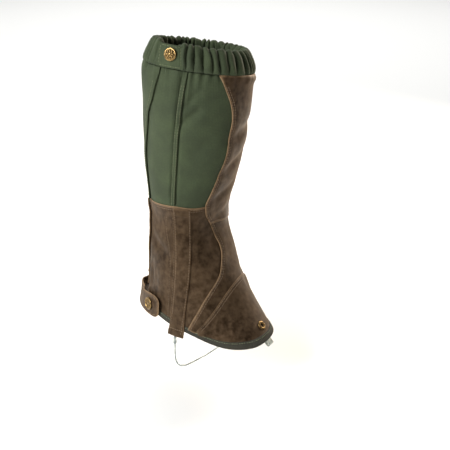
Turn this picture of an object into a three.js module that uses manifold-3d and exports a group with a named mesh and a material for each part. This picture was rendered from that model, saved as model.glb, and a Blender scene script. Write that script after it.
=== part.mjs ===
// Right-foot gaiter. Millimetres, +Z up the leg, toe towards -Y, outer side towards -X.
// The origin is on the leg's axis, level with the lowest edge of the hem.
// Places on the sleeve are an angle round the leg and a height. The angle is in degrees: 0 is the
// front, -90 the outer side, 90 the inner side and 180 the back.
import * as THREE from 'three';
import { mergeVertices } from 'three/addons/utils/BufferGeometryUtils.js';
import loadManifold from 'manifold-3d';

// ---- driving dimensions -------------------------------------------------------------------------
const LEG_HEIGHT = 340;          // hem's lowest edge to the cuff seam
const CUFF_HEIGHT = 28.5;
const HEM_HALF_WIDTH = 60;
const HEM_FRONT = 120;           // reach of the hem in front of the leg's axis
const HEM_BACK = 88;
const ANKLE_HALF_WIDTH = 48;
const ANKLE_FRONT = 26;
const ANKLE_BACK = 75;
const CALF_HALF_WIDTH = 69;
const CALF_FRONT = 69;
const CALF_BACK = 63;
const RIM_TAKE_IN = { side: 8, front: 17, back: 16 };   // the elastic draws the rim in from the calf

const FABRIC = 1.4;              // thicknesses
const LEATHER = 1.8;
const ELASTIC = 1.2;
const SEAM_GAP = 0.8;            // between two panels that meet edge to edge
const LAY_GAP = 0.4;             // between a piece and the one it lies on
const FIT = 0.3;                 // between hard pieces

const BINDING_HEIGHT = 11;
const BINDING_PROUD = 0.5;
const FELL_WIDTH = 5;            // raised double-row seam
const STRIP_WIDTH = 20;          // wire strips
const STRIP_BOTTOM = 3;
const SEAT_DEGREES = 4;          // bare fold between a sewn margin and what swings from it
const MARGIN_DEGREES = 6;

const ZIP_ANGLE = -150;
const ZIP_HALF_OPENING = 5;      // from the zip's line to each panel's edge
const ZIP_FLAT = 9;              // half width of the flat strip that the zip lies in
const ZIP_FADE = 22;             // where the sleeve is round again
const ZIP_BOTTOM_Z = 44;
const ZIP_TOP_CLEARANCE = 14;    // top stop to the cuff seam
const ZIP_SINK_TOP = 6;          // depth of the zip's line under the covering flap
const ZIP_SINK_BOTTOM = 14;
const CHAIN_HALF_GAP = 0.9;      // leaves room for the slider's post
const CHAIN_WIDTH = 2.4;
const CHAIN_THICKNESS = 2;
const TAPE_WIDTH = 8.4;
const TAPE_THICKNESS = 0.6;
const SLIDER_LENGTH = 9;
const SLIDER_PLATE = 0.9;
const PULL_LENGTH = 22;
const PULL_WIDTH = 6;

const UPPER_SNAP_RADIUS = 7.8;
const UPPER_SNAP_ANGLE = -74.5;
const LOWER_SNAP_RADIUS = 8.4;
const LOWER_SNAP_ANGLE = -115.5;
const ANKLE_TAB_BOTTOM = 18;
const ANKLE_TAB_TOP = 48;
const ANKLE_TAB_END = -101;
const SHANK_RADIUS = 1.5;

const WIRE_RADIUS = 1;
const FERRULE_RADIUS = 2.2;
const FERRULE_LENGTH = 8;

// ---- colours and finishes -----------------------------------------------------------------------
const FINISHES = {
  fabric: { color: 0x5f6e50, roughness: 0.85, metalness: 0 },
  leather: { color: 0x54443a, roughness: 0.55, metalness: 0 },
  binding: { color: 0x5a5a48, roughness: 0.9, metalness: 0 },
  elastic: { color: 0x2b2d28, roughness: 0.9, metalness: 0 },
  brass: { color: 0xa8854f, roughness: 0.35, metalness: 1 },
  steel: { color: 0x9aa3a0, roughness: 0.35, metalness: 1 },
  tape: { color: 0x3c4234, roughness: 0.9, metalness: 0 },
  resin: { color: 0x2a2a26, roughness: 0.5, metalness: 0 },
};

const wasm = await loadManifold();
wasm.setup();
const gaiter = new THREE.Group();

// ---- curves -------------------------------------------------------------------------------------
const radians = THREE.MathUtils.degToRad;
const mix = THREE.MathUtils.lerp;
const smooth = THREE.MathUtils.smoothstep;

// A cubic through a few [place, value] points, level with their neighbours' slope at each.
function curve(points) {
  const slope = points.map((_, k) => {
    const a = points[Math.max(k - 1, 0)];
    const b = points[Math.min(k + 1, points.length - 1)];
    return (b[1] - a[1]) / (b[0] - a[0]);
  });
  return (x) => {
    let k = points.findIndex((p) => p[0] >= x) - 1;
    if (k === -2) k = points.length - 2;
    k = Math.max(k, 0);
    const width = points[k + 1][0] - points[k][0];
    const t = THREE.MathUtils.clamp((x - points[k][0]) / width, 0, 1);
    const t2 = t * t;
    const t3 = t2 * t;
    return (2 * t3 - 3 * t2 + 1) * points[k][1] + (t3 - 2 * t2 + t) * width * slope[k]
      + (3 * t2 - 2 * t3) * points[k + 1][1] + (t3 - t2) * width * slope[k + 1];
  };
}

// The same, with the places given as shares of the leg's height.
function alongLeg(points) {
  return curve(points.map(([share, value]) => [share * LEG_HEIGHT, value]));
}

// ---- the sleeve's shape -------------------------------------------------------------------------
const RIM_SHARE = 1.12;
const halfWidth = alongLeg([[0, HEM_HALF_WIDTH], [0.13, 57], [0.25, 54], [0.415, ANKLE_HALF_WIDTH],
  [0.57, 54], [0.75, 61], [0.97, CALF_HALF_WIDTH], [1.03, CALF_HALF_WIDTH - 1],
  [RIM_SHARE, CALF_HALF_WIDTH - RIM_TAKE_IN.side]]);
const front = alongLeg([[0, HEM_FRONT], [0.13, 79], [0.25, 50], [0.415, ANKLE_FRONT],
  [0.57, 42], [0.75, 60], [0.97, CALF_FRONT], [1.03, CALF_FRONT - 3],
  [RIM_SHARE, CALF_FRONT - RIM_TAKE_IN.front]]);
const back = alongLeg([[0, HEM_BACK], [0.13, 82], [0.25, 75], [0.415, ANKLE_BACK],
  [0.57, 72], [0.75, 69], [0.97, CALF_BACK], [1.03, CALF_BACK - 3],
  [RIM_SHARE, CALF_BACK - RIM_TAKE_IN.back]]);

// Seams as heights, given an angle.
const cuffSeam = (angle) => LEG_HEIGHT + 0.5 - 10 * Math.cos(radians(angle - 67));
const leatherTop = (angle) => 0.5 * LEG_HEIGHT + 3 * Math.cos(radians(angle + 60));
const ankleSeam = (angle) => 0.425 * LEG_HEIGHT - 0.1 * angle;
const vampSeam = (angle) => 0.216 * LEG_HEIGHT - 0.0084 * (angle - 15) ** 2;
const hemTop = curve([[-180, 38], [-148, 34], [-110, 26], [-75, 17], [-50, 10], [-25, 11],
  [0, 14], [25, 14], [55, 12], [90, 18], [130, 30], [180, 38], [212, 34], [240, 28]]);

// Seams as angles, given a height.
const shinOuter = alongLeg([[0, -76], [0.06, -72.5], [0.15, -54.5], [0.197, -39.5], [0.241, -21],
  [0.274, -11.5], [0.318, -0.5], [0.353, 1], [0.424, -9], [0.465, -21], [0.512, -27.5], [0.541, -25.5],
  [0.624, -18.5], [0.7, -13.5], [0.794, -12], [0.835, -11], [0.888, -13.5], [0.944, -20], [1, -27]]);
const shinInner = alongLeg([[0, 108], [0.06, 104], [0.197, 84], [0.29, 66], [0.353, 58], [0.44, 74],
  [0.512, 84], [0.7, 70], [0.835, 68], [1, 84]]);
const fell = alongLeg([[0.5, -86], [0.64, -79], [0.775, -73.5], [0.9, -67], [1.02, -60]]);
const flapEdge = alongLeg([[0.12, -133], [0.22, -133], [0.4, -132], [0.5, -130.5], [0.63, -127.5],
  [0.72, -124], [0.84, -112.5], [0.88, -105], [0.92, -97.5], [1.03, -86.5], [1.12, -88]]);
const outerStrip = alongLeg([[0, -85], [0.1, -81], [0.33, -68], [0.52, -67]]);
const innerStrip = alongLeg([[0, 85], [0.1, 88], [0.33, 92], [0.52, 95]]);
const always = (value) => () => value;
const VAMP_OUTER = -66;          // where the vamp's seam comes down to the hem
const VAMP_INNER = 96;
const CUT_DEPTH = 3;
const BACK_SEAM = 140;
const FLAP_HINGE = -173;
const ANKLE_HINGE = -162;
const CUFF_TAB_HINGE = -90;
const CUFF_TAB_END = -61;

// Half ellipses in front and behind: the leg as a smooth closed section at each height.
function limb(angle, z) {
  const a = radians(angle);
  const reach = Math.cos(a) > 0 ? front(z) : back(z);
  return new THREE.Vector3(halfWidth(z) * Math.sin(a), -reach * Math.cos(a), z);
}

function normalOf(surface, angle, z) {
  const round = surface(angle + 0.5, z).sub(surface(angle - 0.5, z));
  const up = surface(angle, z + 0.5).sub(surface(angle, z - 0.5));
  return round.cross(up).normalize();
}

// The zip's line is straight, so that its slider can run on it.
const ZIP_TOP_Z = cuffSeam(ZIP_ANGLE) - ZIP_TOP_CLEARANCE;
function sunk(z, depth) {
  return limb(ZIP_ANGLE, z).addScaledVector(normalOf(limb, ZIP_ANGLE, z).setZ(0), -depth);
}
const zipBottom = sunk(ZIP_BOTTOM_Z, ZIP_SINK_BOTTOM).setZ(ZIP_BOTTOM_Z);
const zipTop = sunk(ZIP_TOP_Z, ZIP_SINK_TOP).setZ(ZIP_TOP_Z);
const zipAlong = zipTop.clone().sub(zipBottom).normalize();
const zipAcross = zipAlong.clone().cross(normalOf(limb, ZIP_ANGLE, 0.5 * LEG_HEIGHT)).normalize();
const zipOut = zipAcross.clone().cross(zipAlong);
const zipLength = zipTop.distanceTo(zipBottom);

// The sleeve: round, with a flat sunk strip along the zip. On the strip a degree is a millimetre.
function sleeve(angle, z) {
  const turn = THREE.MathUtils.euclideanModulo(angle - ZIP_ANGLE + 180, 360) - 180;
  const fadeUp = 1 - smooth(z, ZIP_TOP_Z + 2, ZIP_TOP_Z + ZIP_TOP_CLEARANCE);
  const fadeDown = smooth(z, ZIP_BOTTOM_Z - 24, ZIP_BOTTOM_Z - 6);
  const share = (1 - smooth(Math.abs(turn), ZIP_FLAT, ZIP_FADE)) * fadeUp * fadeDown;
  const flat = zipBottom.clone().lerp(zipTop, (z - ZIP_BOTTOM_Z) / (ZIP_TOP_Z - ZIP_BOTTOM_Z))
    .addScaledVector(zipAcross, turn);
  return limb(angle, z).lerp(flat, share);
}

function at(surface, angle, z, offset) {
  return surface(angle, z).addScaledVector(normalOf(surface, angle, z), offset);
}

// Degrees round the leg that make a length in millimetres.
function degrees(surface, angle, z, length) {
  return length / surface(angle + 0.5, z).distanceTo(surface(angle - 0.5, z));
}

// ---- solids -------------------------------------------------------------------------------------
function add(name, geometry, finish) {
  const mesh = new THREE.Mesh(geometry, new THREE.MeshStandardMaterial(FINISHES[finish]));
  mesh.name = name;
  gaiter.add(mesh);
  return mesh;
}

function fromTriangles(points, triangles) {
  const geometry = new THREE.BufferGeometry();
  const numbers = points.flatMap((p) => [p.x, p.y, p.z]);
  geometry.setAttribute('position', new THREE.Float32BufferAttribute(numbers, 3));
  geometry.setIndex(triangles);
  geometry.computeVertexNormals();
  return geometry;
}

// Places in a four-sided panel. from and to give its side edges as angles, below and above its lower
// and upper edges as heights, all drawn in by inset millimetres.
function fourSided({ from, to, below, above, surface = sleeve, inset = SEAM_GAP / 2 }) {
  return (u, v) => {
    let z = mix(below(0), above(0), v);
    let angle = mix(from(z), to(z), u);
    for (let pass = 0; pass < 30; pass += 1) {
      const margin = degrees(surface, angle, z, inset);
      angle = mix(angle, mix(from(z) + margin, to(z) - margin, u), 0.6);
      z = mix(z, mix(below(angle) + inset, above(angle) - inset, v), 0.6);
    }
    return [angle, z];
  };
}

// A closed shell between two offsets of a surface. placed(u, v) gives each place as [angle, height].
function shell({ placed, inner, outer, across, along, surface = sleeve }) {
  const points = [];
  for (const offset of [outer, inner]) {
    for (let j = 0; j <= along; j += 1) {
      for (let i = 0; i <= across; i += 1) {
        points.push(at(surface, ...placed(i / across, j / along), offset));
      }
    }
  }
  const row = across + 1;
  const o = (i, j) => j * row + i;
  const n = (i, j) => (along + 1) * row + j * row + i;
  const quads = [];
  for (let j = 0; j < along; j += 1) {
    for (let i = 0; i < across; i += 1) {
      quads.push([o(i, j), o(i + 1, j), o(i + 1, j + 1), o(i, j + 1)]);
      quads.push([n(i, j), n(i, j + 1), n(i + 1, j + 1), n(i + 1, j)]);
    }
    quads.push([o(0, j), o(0, j + 1), n(0, j + 1), n(0, j)]);
    quads.push([o(across, j + 1), o(across, j), n(across, j), n(across, j + 1)]);
  }
  for (let i = 0; i < across; i += 1) {
    quads.push([o(i + 1, 0), o(i, 0), n(i, 0), n(i + 1, 0)]);
    quads.push([o(i, along), o(i + 1, along), n(i + 1, along), n(i, along)]);
  }
  return fromTriangles(points, quads.flatMap(([a, b, c, d]) => [a, b, c, a, c, d]));
}

// A band that follows a line round the leg, with a drawn section of [offset, height] points.
function band({ section, from, to, line, steps, surface = sleeve }) {
  const outline = section.map(([x, y]) => new THREE.Vector2(x, y));
  const points = [];
  for (let k = 0; k <= steps; k += 1) {
    const angle = mix(from, to, k / steps);
    for (const p of outline) points.push(at(surface, angle, line(angle) + p.y, p.x));
  }
  const count = outline.length;
  const triangles = [];
  for (let k = 0; k < steps; k += 1) {
    for (let i = 0; i < count; i += 1) {
      const a = k * count + i;
      const b = k * count + (i + 1) % count;
      triangles.push(a, a + count, b + count, a, b + count, b);
    }
  }
  const last = steps * count;
  for (const [a, b, c] of THREE.ShapeUtils.triangulateShape(outline, [])) {
    triangles.push(a, b, c, last + a, last + c, last + b);
  }
  return fromTriangles(points, triangles);
}

function toManifold(mesh) {
  mesh.updateMatrixWorld();
  const geometry = mesh.geometry.clone().applyMatrix4(mesh.matrixWorld);
  for (const name of ['normal', 'uv']) geometry.deleteAttribute(name);
  const merged = mergeVertices(geometry, 1e-4);
  return new wasm.Manifold(new wasm.Mesh({ numProp: 3,
    vertProperties: new Float32Array(merged.attributes.position.array),
    triVerts: new Uint32Array(merged.index.array) }));
}

function fromManifold(solid) {
  const { vertProperties, triVerts } = solid.getMesh();
  const geometry = new THREE.BufferGeometry();
  geometry.setAttribute('position', new THREE.BufferAttribute(vertProperties, 3));
  geometry.setIndex(new THREE.BufferAttribute(triVerts, 1));
  geometry.computeVertexNormals();
  return geometry;
}

// Cuts a round hole through a piece that is already in place.
function pierce(mesh, seat, radius) {
  const drill = new THREE.Mesh(new THREE.CylinderGeometry(radius, radius, 12, 12).rotateX(Math.PI / 2));
  place(drill, seat);
  mesh.geometry = fromManifold(toManifold(mesh).subtract(toManifold(drill)));
}

function cut(geometry, tool) {
  return fromManifold(toManifold(new THREE.Mesh(geometry)).subtract(toManifold(new THREE.Mesh(tool))));
}

function join(geometries) {
  const solids = geometries.map((geometry) => toManifold(new THREE.Mesh(geometry)));
  return fromManifold(solids.reduce((a, b) => a.add(b)));
}

// Turns a geometry's faces round, after a mirroring matrix.
function flipped(geometry) {
  const source = geometry.index ? geometry.toNonIndexed() : geometry;
  const { array } = source.attributes.position;
  for (let k = 0; k < array.length; k += 9) {
    for (let c = k + 3; c < k + 6; c += 1) [array[c], array[c + 3]] = [array[c + 3], array[c]];
  }
  source.computeVertexNormals();
  return source;
}

function box(x0, x1, y0, y1, z0, z1) {
  return new THREE.BoxGeometry(x1 - x0, y1 - y0, z1 - z0)
    .translate((x0 + x1) / 2, (y0 + y1) / 2, (z0 + z1) / 2);
}

// A turned piece: [radius, height] points, its axis along +Z.
function turned(profile, sides = 20) {
  const points = profile.map(([r, h]) => new THREE.Vector2(r, h));
  return new THREE.LatheGeometry(points, sides).rotateX(Math.PI / 2);
}

// Where hardware sits: local X goes round the leg, local Y up it and local Z straight out.
function seatOn(surface, angle, z, offset) {
  const out = normalOf(surface, angle, z);
  const round = surface(angle + 0.5, z).sub(surface(angle - 0.5, z)).normalize();
  return { origin: at(surface, angle, z, offset), round, up: out.clone().cross(round), out };
}

function place(mesh, { origin, round, up, out }) {
  mesh.position.copy(origin);
  mesh.quaternion.setFromRotationMatrix(new THREE.Matrix4().makeBasis(round, up, out));
  return mesh;
}

// ---- sleeve panels ------------------------------------------------------------------------------
const zipFront = always(ZIP_ANGLE + ZIP_HALF_OPENING);
const zipRear = always(ZIP_ANGLE + 360 - ZIP_HALF_OPENING);
const backSeam = always(BACK_SEAM);
const panels = [
  ['outer_side_front', 'fabric', fell, shinOuter, leatherTop, cuffSeam, 4, 12],
  ['outer_side_rear', 'fabric', zipFront, fell, leatherTop, cuffSeam, 10, 10],
  ['inner_side', 'fabric', shinInner, backSeam, leatherTop, cuffSeam, 6, 10],
  ['back_fabric', 'fabric', backSeam, zipRear, leatherTop, cuffSeam, 8, 9],
  ['shin_leather', 'leather', shinOuter, shinInner, ankleSeam, cuffSeam, 8, 14],
  ['vamp_leather', 'leather', always(VAMP_OUTER), always(VAMP_INNER), hemTop, vampSeam, 14, 4],
  ['outer_lower_leather', 'leather', zipFront, shinOuter, hemTop, leatherTop, 11, 16],
  ['inner_lower_leather', 'leather', shinInner, backSeam, hemTop, leatherTop, 5, 11],
  ['heel_leather', 'leather', backSeam, zipRear, hemTop, leatherTop, 8, 9],
];
const panel = {};
for (const [name, finish, from, to, below, above, across, along] of panels) {
  const thickness = finish === 'fabric' ? FABRIC : LEATHER;
  panel[name] = add(name, shell({ placed: fourSided({ from, to, below, above }), inner: -thickness, outer: 0,
    across, along }), finish);
}

// The instep leather arches over the vamp: a whole front panel with the vamp's shape cut out of it.
const frontPlace = fourSided({ from: shinOuter, to: shinInner, below: hemTop, above: ankleSeam });
const frontPanel = shell({ placed: frontPlace, inner: -LEATHER, outer: 0, across: 16, along: 14 });
const vampCut = shell({ placed: fourSided({ from: always(VAMP_OUTER), to: always(VAMP_INNER),
  below: (angle) => hemTop(angle) - 2 * CUT_DEPTH, above: vampSeam, inset: -SEAM_GAP / 2 }),
inner: -LEATHER - CUT_DEPTH, outer: CUT_DEPTH, across: 14, along: 4 });
add('instep_leather', cut(frontPanel, vampCut), 'leather');

// Raised strip over the felled seam of the outer side.
const halfFell = (z) => degrees(sleeve, fell(z), z, FELL_WIDTH / 2);
const fellPlace = fourSided({ from: (z) => fell(z) - halfFell(z), to: (z) => fell(z) + halfFell(z),
  below: (angle) => leatherTop(angle) + 1, above: (angle) => cuffSeam(angle) - 1 });
add('felled_seam', shell({ placed: fellPlace, inner: LAY_GAP, outer: LAY_GAP + FABRIC, across: 1,
  along: 14 }), 'fabric');

// Tape round the hem, under the panels' lower edges.
add('hem_binding', band({ section: [[-LEATHER, -BINDING_HEIGHT], [BINDING_PROUD, -BINDING_HEIGHT],
  [BINDING_PROUD, -SEAM_GAP / 2], [-LEATHER, -SEAM_GAP / 2]],
from: zipFront() + 1, to: zipRear() - 1, line: hemTop, steps: 48 }), 'binding');

// ---- wire strips --------------------------------------------------------------------------------
function wireStrip(name, centre) {
  const half = (z) => degrees(sleeve, centre(z), z, STRIP_WIDTH / 2);
  const placed = fourSided({ from: (z) => centre(z) - half(z), to: (z) => centre(z) + half(z),
    below: always(STRIP_BOTTOM), above: (angle) => leatherTop(angle) - 1, inset: 0 });
  const inner = BINDING_PROUD + LAY_GAP;
  add(name, shell({ placed, inner, outer: inner + LEATHER, across: 4, along: 12 }), 'leather');
}
wireStrip('outer_wire_strip', outerStrip);
wireStrip('inner_wire_strip', innerStrip);

// ---- cuff ---------------------------------------------------------------------------------------
// The casing is folded over at the rim and open at the seam, with the elastic inside.
// Its walls bend at the same heights as the elastic, so that the two stay parallel.
const CUFF_LEVELS = [0.3 * CUFF_HEIGHT, 0.6 * CUFF_HEIGHT];
function wall(offset, low, high) {
  return [low, ...CUFF_LEVELS, high].map((height) => [offset, height]);
}
const ELASTIC_ROOM = ELASTIC + 2 * LAY_GAP;
const CASING_OUTER = LAY_GAP;
const CASING_INNER = CASING_OUTER - 2 * FABRIC - ELASTIC_ROOM;
const CASING_INNER_EDGE = SEAM_GAP / 2 + 1;   // the inner wall is turned up a little shorter
const casing = [
  ...wall(CASING_OUTER, SEAM_GAP / 2, CUFF_HEIGHT - FABRIC / 2),
  [CASING_OUTER - FABRIC, CUFF_HEIGHT], [CASING_INNER + FABRIC, CUFF_HEIGHT],
  ...wall(CASING_INNER, CASING_INNER_EDGE, CUFF_HEIGHT - FABRIC / 2).reverse(),
  ...wall(CASING_INNER + FABRIC, CASING_INNER_EDGE, CUFF_HEIGHT - FABRIC),
  ...wall(CASING_OUTER - FABRIC, SEAM_GAP / 2, CUFF_HEIGHT - FABRIC).reverse(),
];
const elasticOuter = CASING_OUTER - FABRIC - LAY_GAP;
const elastic = [
  ...wall(elasticOuter, 3, CUFF_HEIGHT - 4),
  ...wall(elasticOuter - ELASTIC, 3, CUFF_HEIGHT - 4).reverse(),
];
const mainCuff = { from: CUFF_TAB_END + 2, to: FLAP_HINGE + 360 - SEAT_DEGREES, line: cuffSeam, steps: 34,
  surface: limb };
add('cuff_casing', band({ section: casing, ...mainCuff }), 'fabric');
add('cuff_elastic', band({ section: elastic, ...mainCuff }), 'elastic');

// ---- snaps --------------------------------------------------------------------------------------
const STUD_BASE = 0.8;
const SOCKET_HEIGHT = 2.2;
const SOCKET_WEB = 0.4;
const SNAP_STACK = STUD_BASE + SOCKET_HEIGHT + 3 * FIT;   // room between the two layers that a snap joins
const STUD_RADIUS = 2.4;
const SOCKET_RADIUS = 5;
const STUD_WAIST = 0.4;          // the socket's lip springs into it
const STUD_HEIGHT = 1.8;
const POST_RADIUS = 4.6;
const POST_FLANGE = 0.8;
const SHANK_CLEARANCE = 0.4;

// The lower seat is on the outer face of the layer with the stud, the upper one on that of the layer
// with the cap. thin and thick are the thicknesses of those layers.
function snap(name, lower, upper, lowerLayer, upperLayer, thin, thick, capRadius, dome) {
  pierce(lowerLayer, lower, SHANK_RADIUS + SHANK_CLEARANCE);
  pierce(upperLayer, upper, SHANK_RADIUS + SHANK_CLEARANCE);
  const low = FIT;
  const base = low + STUD_BASE;
  place(add(`${name}_snap_stud`, turned([[0, low], [SOCKET_RADIUS, low], [SOCKET_RADIUS, base],
    [STUD_RADIUS - STUD_WAIST, base], [STUD_RADIUS, base + 0.67 * STUD_HEIGHT],
    [STUD_RADIUS - 0.6, base + STUD_HEIGHT], [0, base + STUD_HEIGHT]]), 'brass'), lower);
  const under = -thin - FIT;
  place(add(`${name}_snap_post`, turned([[0, under - POST_FLANGE], [POST_RADIUS, under - POST_FLANGE],
    [POST_RADIUS, under], [SHANK_RADIUS, under], [SHANK_RADIUS, 0], [0, 0]]), 'brass'), lower);
  const socketTop = -thick - FIT;
  const mouth = STUD_RADIUS + 0.7;
  place(add(`${name}_snap_socket`, turned([[0, socketTop - SOCKET_WEB], [mouth, socketTop - SOCKET_WEB],
    [mouth, socketTop - SOCKET_HEIGHT], [SOCKET_RADIUS, socketTop - SOCKET_HEIGHT],
    [SOCKET_RADIUS, socketTop], [0, socketTop]]), 'brass'), upper);
  place(add(`${name}_snap_cap`, turned([[0, -thick], [SHANK_RADIUS, -thick], [SHANK_RADIUS, FIT],
    [capRadius - 0.6, FIT], [capRadius, FIT + 0.7], ...dome(capRadius)], 24), 'brass'), upper);
}
const domed = (r) => [[r * 0.92, 1.8], [r * 0.7, 2.8], [r * 0.38, 3.4], [0, 3.6]];
const rimmed = (r) => [[r * 0.93, 1.9], [r * 0.8, 1.9], [r * 0.68, 1.2], [r * 0.3, 1.5], [0, 1.6]];

// ---- covering flap, with its own length of cuff and the snap tab at its end ----------------------
const FLAP_LIFT = 2 * LAY_GAP;
const FLAP_BOTTOM = ANKLE_TAB_TOP + 3;
const flapStart = always(FLAP_HINGE + SEAT_DEGREES - 1);
const marginFrom = always(FLAP_HINGE - SEAT_DEGREES - MARGIN_DEGREES);
const marginTo = always(FLAP_HINGE - SEAT_DEGREES);
const flapPieces = [
  ['flap_fabric', 'fabric', flapStart, flapEdge, leatherTop, cuffSeam, 8, 11],
  ['flap_leather', 'leather', flapStart, flapEdge, always(FLAP_BOTTOM), leatherTop, 7, 8],
  ['flap_margin_fabric', 'fabric', marginFrom, marginTo, leatherTop, cuffSeam, 1, 10],
  ['flap_margin_leather', 'leather', marginFrom, marginTo, always(FLAP_BOTTOM), leatherTop, 1, 8],
];
for (const [name, finish, from, to, below, above, across, along] of flapPieces) {
  const thickness = finish === 'fabric' ? FABRIC : LEATHER;
  const placed = fourSided({ from, to, below, above, surface: limb });
  add(name, shell({ placed, across, along, surface: limb, inner: FLAP_LIFT,
    outer: FLAP_LIFT + thickness }), finish);
}
const flapCuff = { from: flapStart() + 1, to: CUFF_TAB_HINGE - 2, line: cuffSeam, steps: 11, surface: limb };
add('flap_cuff_casing', band({ section: casing, ...flapCuff }), 'fabric');
add('flap_cuff_elastic', band({ section: elastic, ...flapCuff }), 'elastic');

const TAB_INNER = 0.8;
const UNDERLAP_OUTER = TAB_INNER - SNAP_STACK;
const cuffLayer = (from, to) => fourSided({ from: always(from), to: always(to), surface: limb,
  below: (angle) => cuffSeam(angle) + 1, above: (angle) => cuffSeam(angle) + CUFF_HEIGHT - 1 });
const cuffTab = add('cuff_tab', shell({ placed: cuffLayer(CUFF_TAB_HINGE, CUFF_TAB_END - 1), surface: limb,
  inner: TAB_INNER, outer: TAB_INNER + FABRIC, across: 5, along: 5 }), 'fabric');
const underlap = add('cuff_underlap', shell({ placed: cuffLayer(CUFF_TAB_HINGE - 1, CUFF_TAB_END + 1.5),
  surface: limb, inner: UNDERLAP_OUTER - FABRIC, outer: UNDERLAP_OUTER, across: 5, along: 5 }), 'fabric');
const upperSnapZ = cuffSeam(UPPER_SNAP_ANGLE) + CUFF_HEIGHT * 0.55;
const tabSeat = seatOn(limb, UPPER_SNAP_ANGLE, upperSnapZ, TAB_INNER + FABRIC);
const underlapSeat = { ...tabSeat,
  origin: tabSeat.origin.clone().addScaledVector(tabSeat.out, -FABRIC - SNAP_STACK) };
snap('upper', underlapSeat, tabSeat, underlap, cuffTab, FABRIC, FABRIC, UPPER_SNAP_RADIUS, domed);

// ---- ankle tab, sewn to the heel leather behind the zip ------------------------------------------
const ANKLE_TAB_START = ANKLE_HINGE + SEAT_DEGREES - 1;
const tabMiddle = (ANKLE_TAB_BOTTOM + ANKLE_TAB_TOP) / 2;
const tabHalf = (ANKLE_TAB_TOP - ANKLE_TAB_BOTTOM) / 2;
const TAB_ROUNDING = 9;          // degrees that the tab's end curves back at its corners
function tabEnd(z) {
  const share = Math.max(0, 1 - ((z - tabMiddle) / tabHalf) ** 4);
  return ANKLE_TAB_END - TAB_ROUNDING * (1 - Math.sqrt(share));
}
const ankleTabInner = SNAP_STACK;
const tabPlace = fourSided({ from: always(ANKLE_TAB_START), to: tabEnd, surface: limb, inset: 0,
  below: always(ANKLE_TAB_BOTTOM), above: always(ANKLE_TAB_TOP) });
const ankleTab = add('ankle_tab', shell({ placed: tabPlace, surface: limb,
  inner: ankleTabInner, outer: ankleTabInner + LEATHER, across: 8, along: 8 }), 'leather');
const tabMargin = fourSided({ from: always(ANKLE_HINGE - SEAT_DEGREES - MARGIN_DEGREES),
  to: always(ANKLE_HINGE - SEAT_DEGREES), below: always(hemTop(ANKLE_HINGE) + 1),
  above: always(ANKLE_TAB_TOP) });
add('ankle_tab_margin', shell({ placed: tabMargin, surface: limb,
  inner: LAY_GAP, outer: LAY_GAP + LEATHER, across: 1, along: 4 }), 'leather');
const ankleSeat = seatOn(limb, LOWER_SNAP_ANGLE, tabMiddle, SNAP_STACK + LEATHER);
const lowerSeat = { ...ankleSeat,
  origin: ankleSeat.origin.clone().addScaledVector(ankleSeat.out, -LEATHER - SNAP_STACK) };
snap('lower', lowerSeat, ankleSeat, panel.outer_lower_leather, ankleTab, LEATHER, LEATHER, LOWER_SNAP_RADIUS,
  rimmed);

// ---- zip ----------------------------------------------------------------------------------------
// Local X goes across the zip towards the front, local Y up its line and local Z out. Zero is the
// outer face of the panels on each side, at the bottom of the zip.
const zipSeat = { origin: zipBottom, round: zipAcross, up: zipAlong, out: zipOut };
const CHAIN_MIDDLE = -LEATHER - LAY_GAP - TAPE_THICKNESS / 2 - 0.1;
const chainOuter = CHAIN_HALF_GAP + CHAIN_WIDTH;
const ZIP_END = 8;               // length of the box and the pin
const STOP_LENGTH = 3;
const chainLow = CHAIN_MIDDLE - CHAIN_THICKNESS / 2;
const chainHigh = CHAIN_MIDDLE + CHAIN_THICKNESS / 2;
const chainTop = zipLength - STOP_LENGTH - FIT;
const sides = [['front', 1], ['rear', -1]];
function mirrored(side, x0, x1, ...rest) {
  return box(Math.min(side * x0, side * x1), Math.max(side * x0, side * x1), ...rest);
}
for (const [name, side] of sides) {
  place(add(`zip_tape_${name}`, mirrored(side, chainOuter + FIT, chainOuter + FIT + TAPE_WIDTH, 0, zipLength,
    CHAIN_MIDDLE - TAPE_THICKNESS / 2, CHAIN_MIDDLE + TAPE_THICKNESS / 2), 'tape'), zipSeat);
  place(add(`zip_teeth_${name}`, mirrored(side, CHAIN_HALF_GAP, chainOuter, ZIP_END + FIT, chainTop,
    chainLow, chainHigh), 'resin'), zipSeat);
  place(add(`zip_top_stop_${name}`, mirrored(side, CHAIN_HALF_GAP, chainOuter, zipLength - STOP_LENGTH,
    zipLength, chainLow - 0.3, chainHigh + 0.3), 'brass'), zipSeat);
}
place(add('zip_box', box(-chainOuter, 0.6, 0, ZIP_END, chainLow - 0.6, chainHigh + 0.6), 'brass'), zipSeat);
place(add('zip_pin', box(0.6 + FIT, chainOuter, 0, ZIP_END, chainLow - 0.3, chainHigh + 0.3), 'brass'),
  zipSeat);

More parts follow.
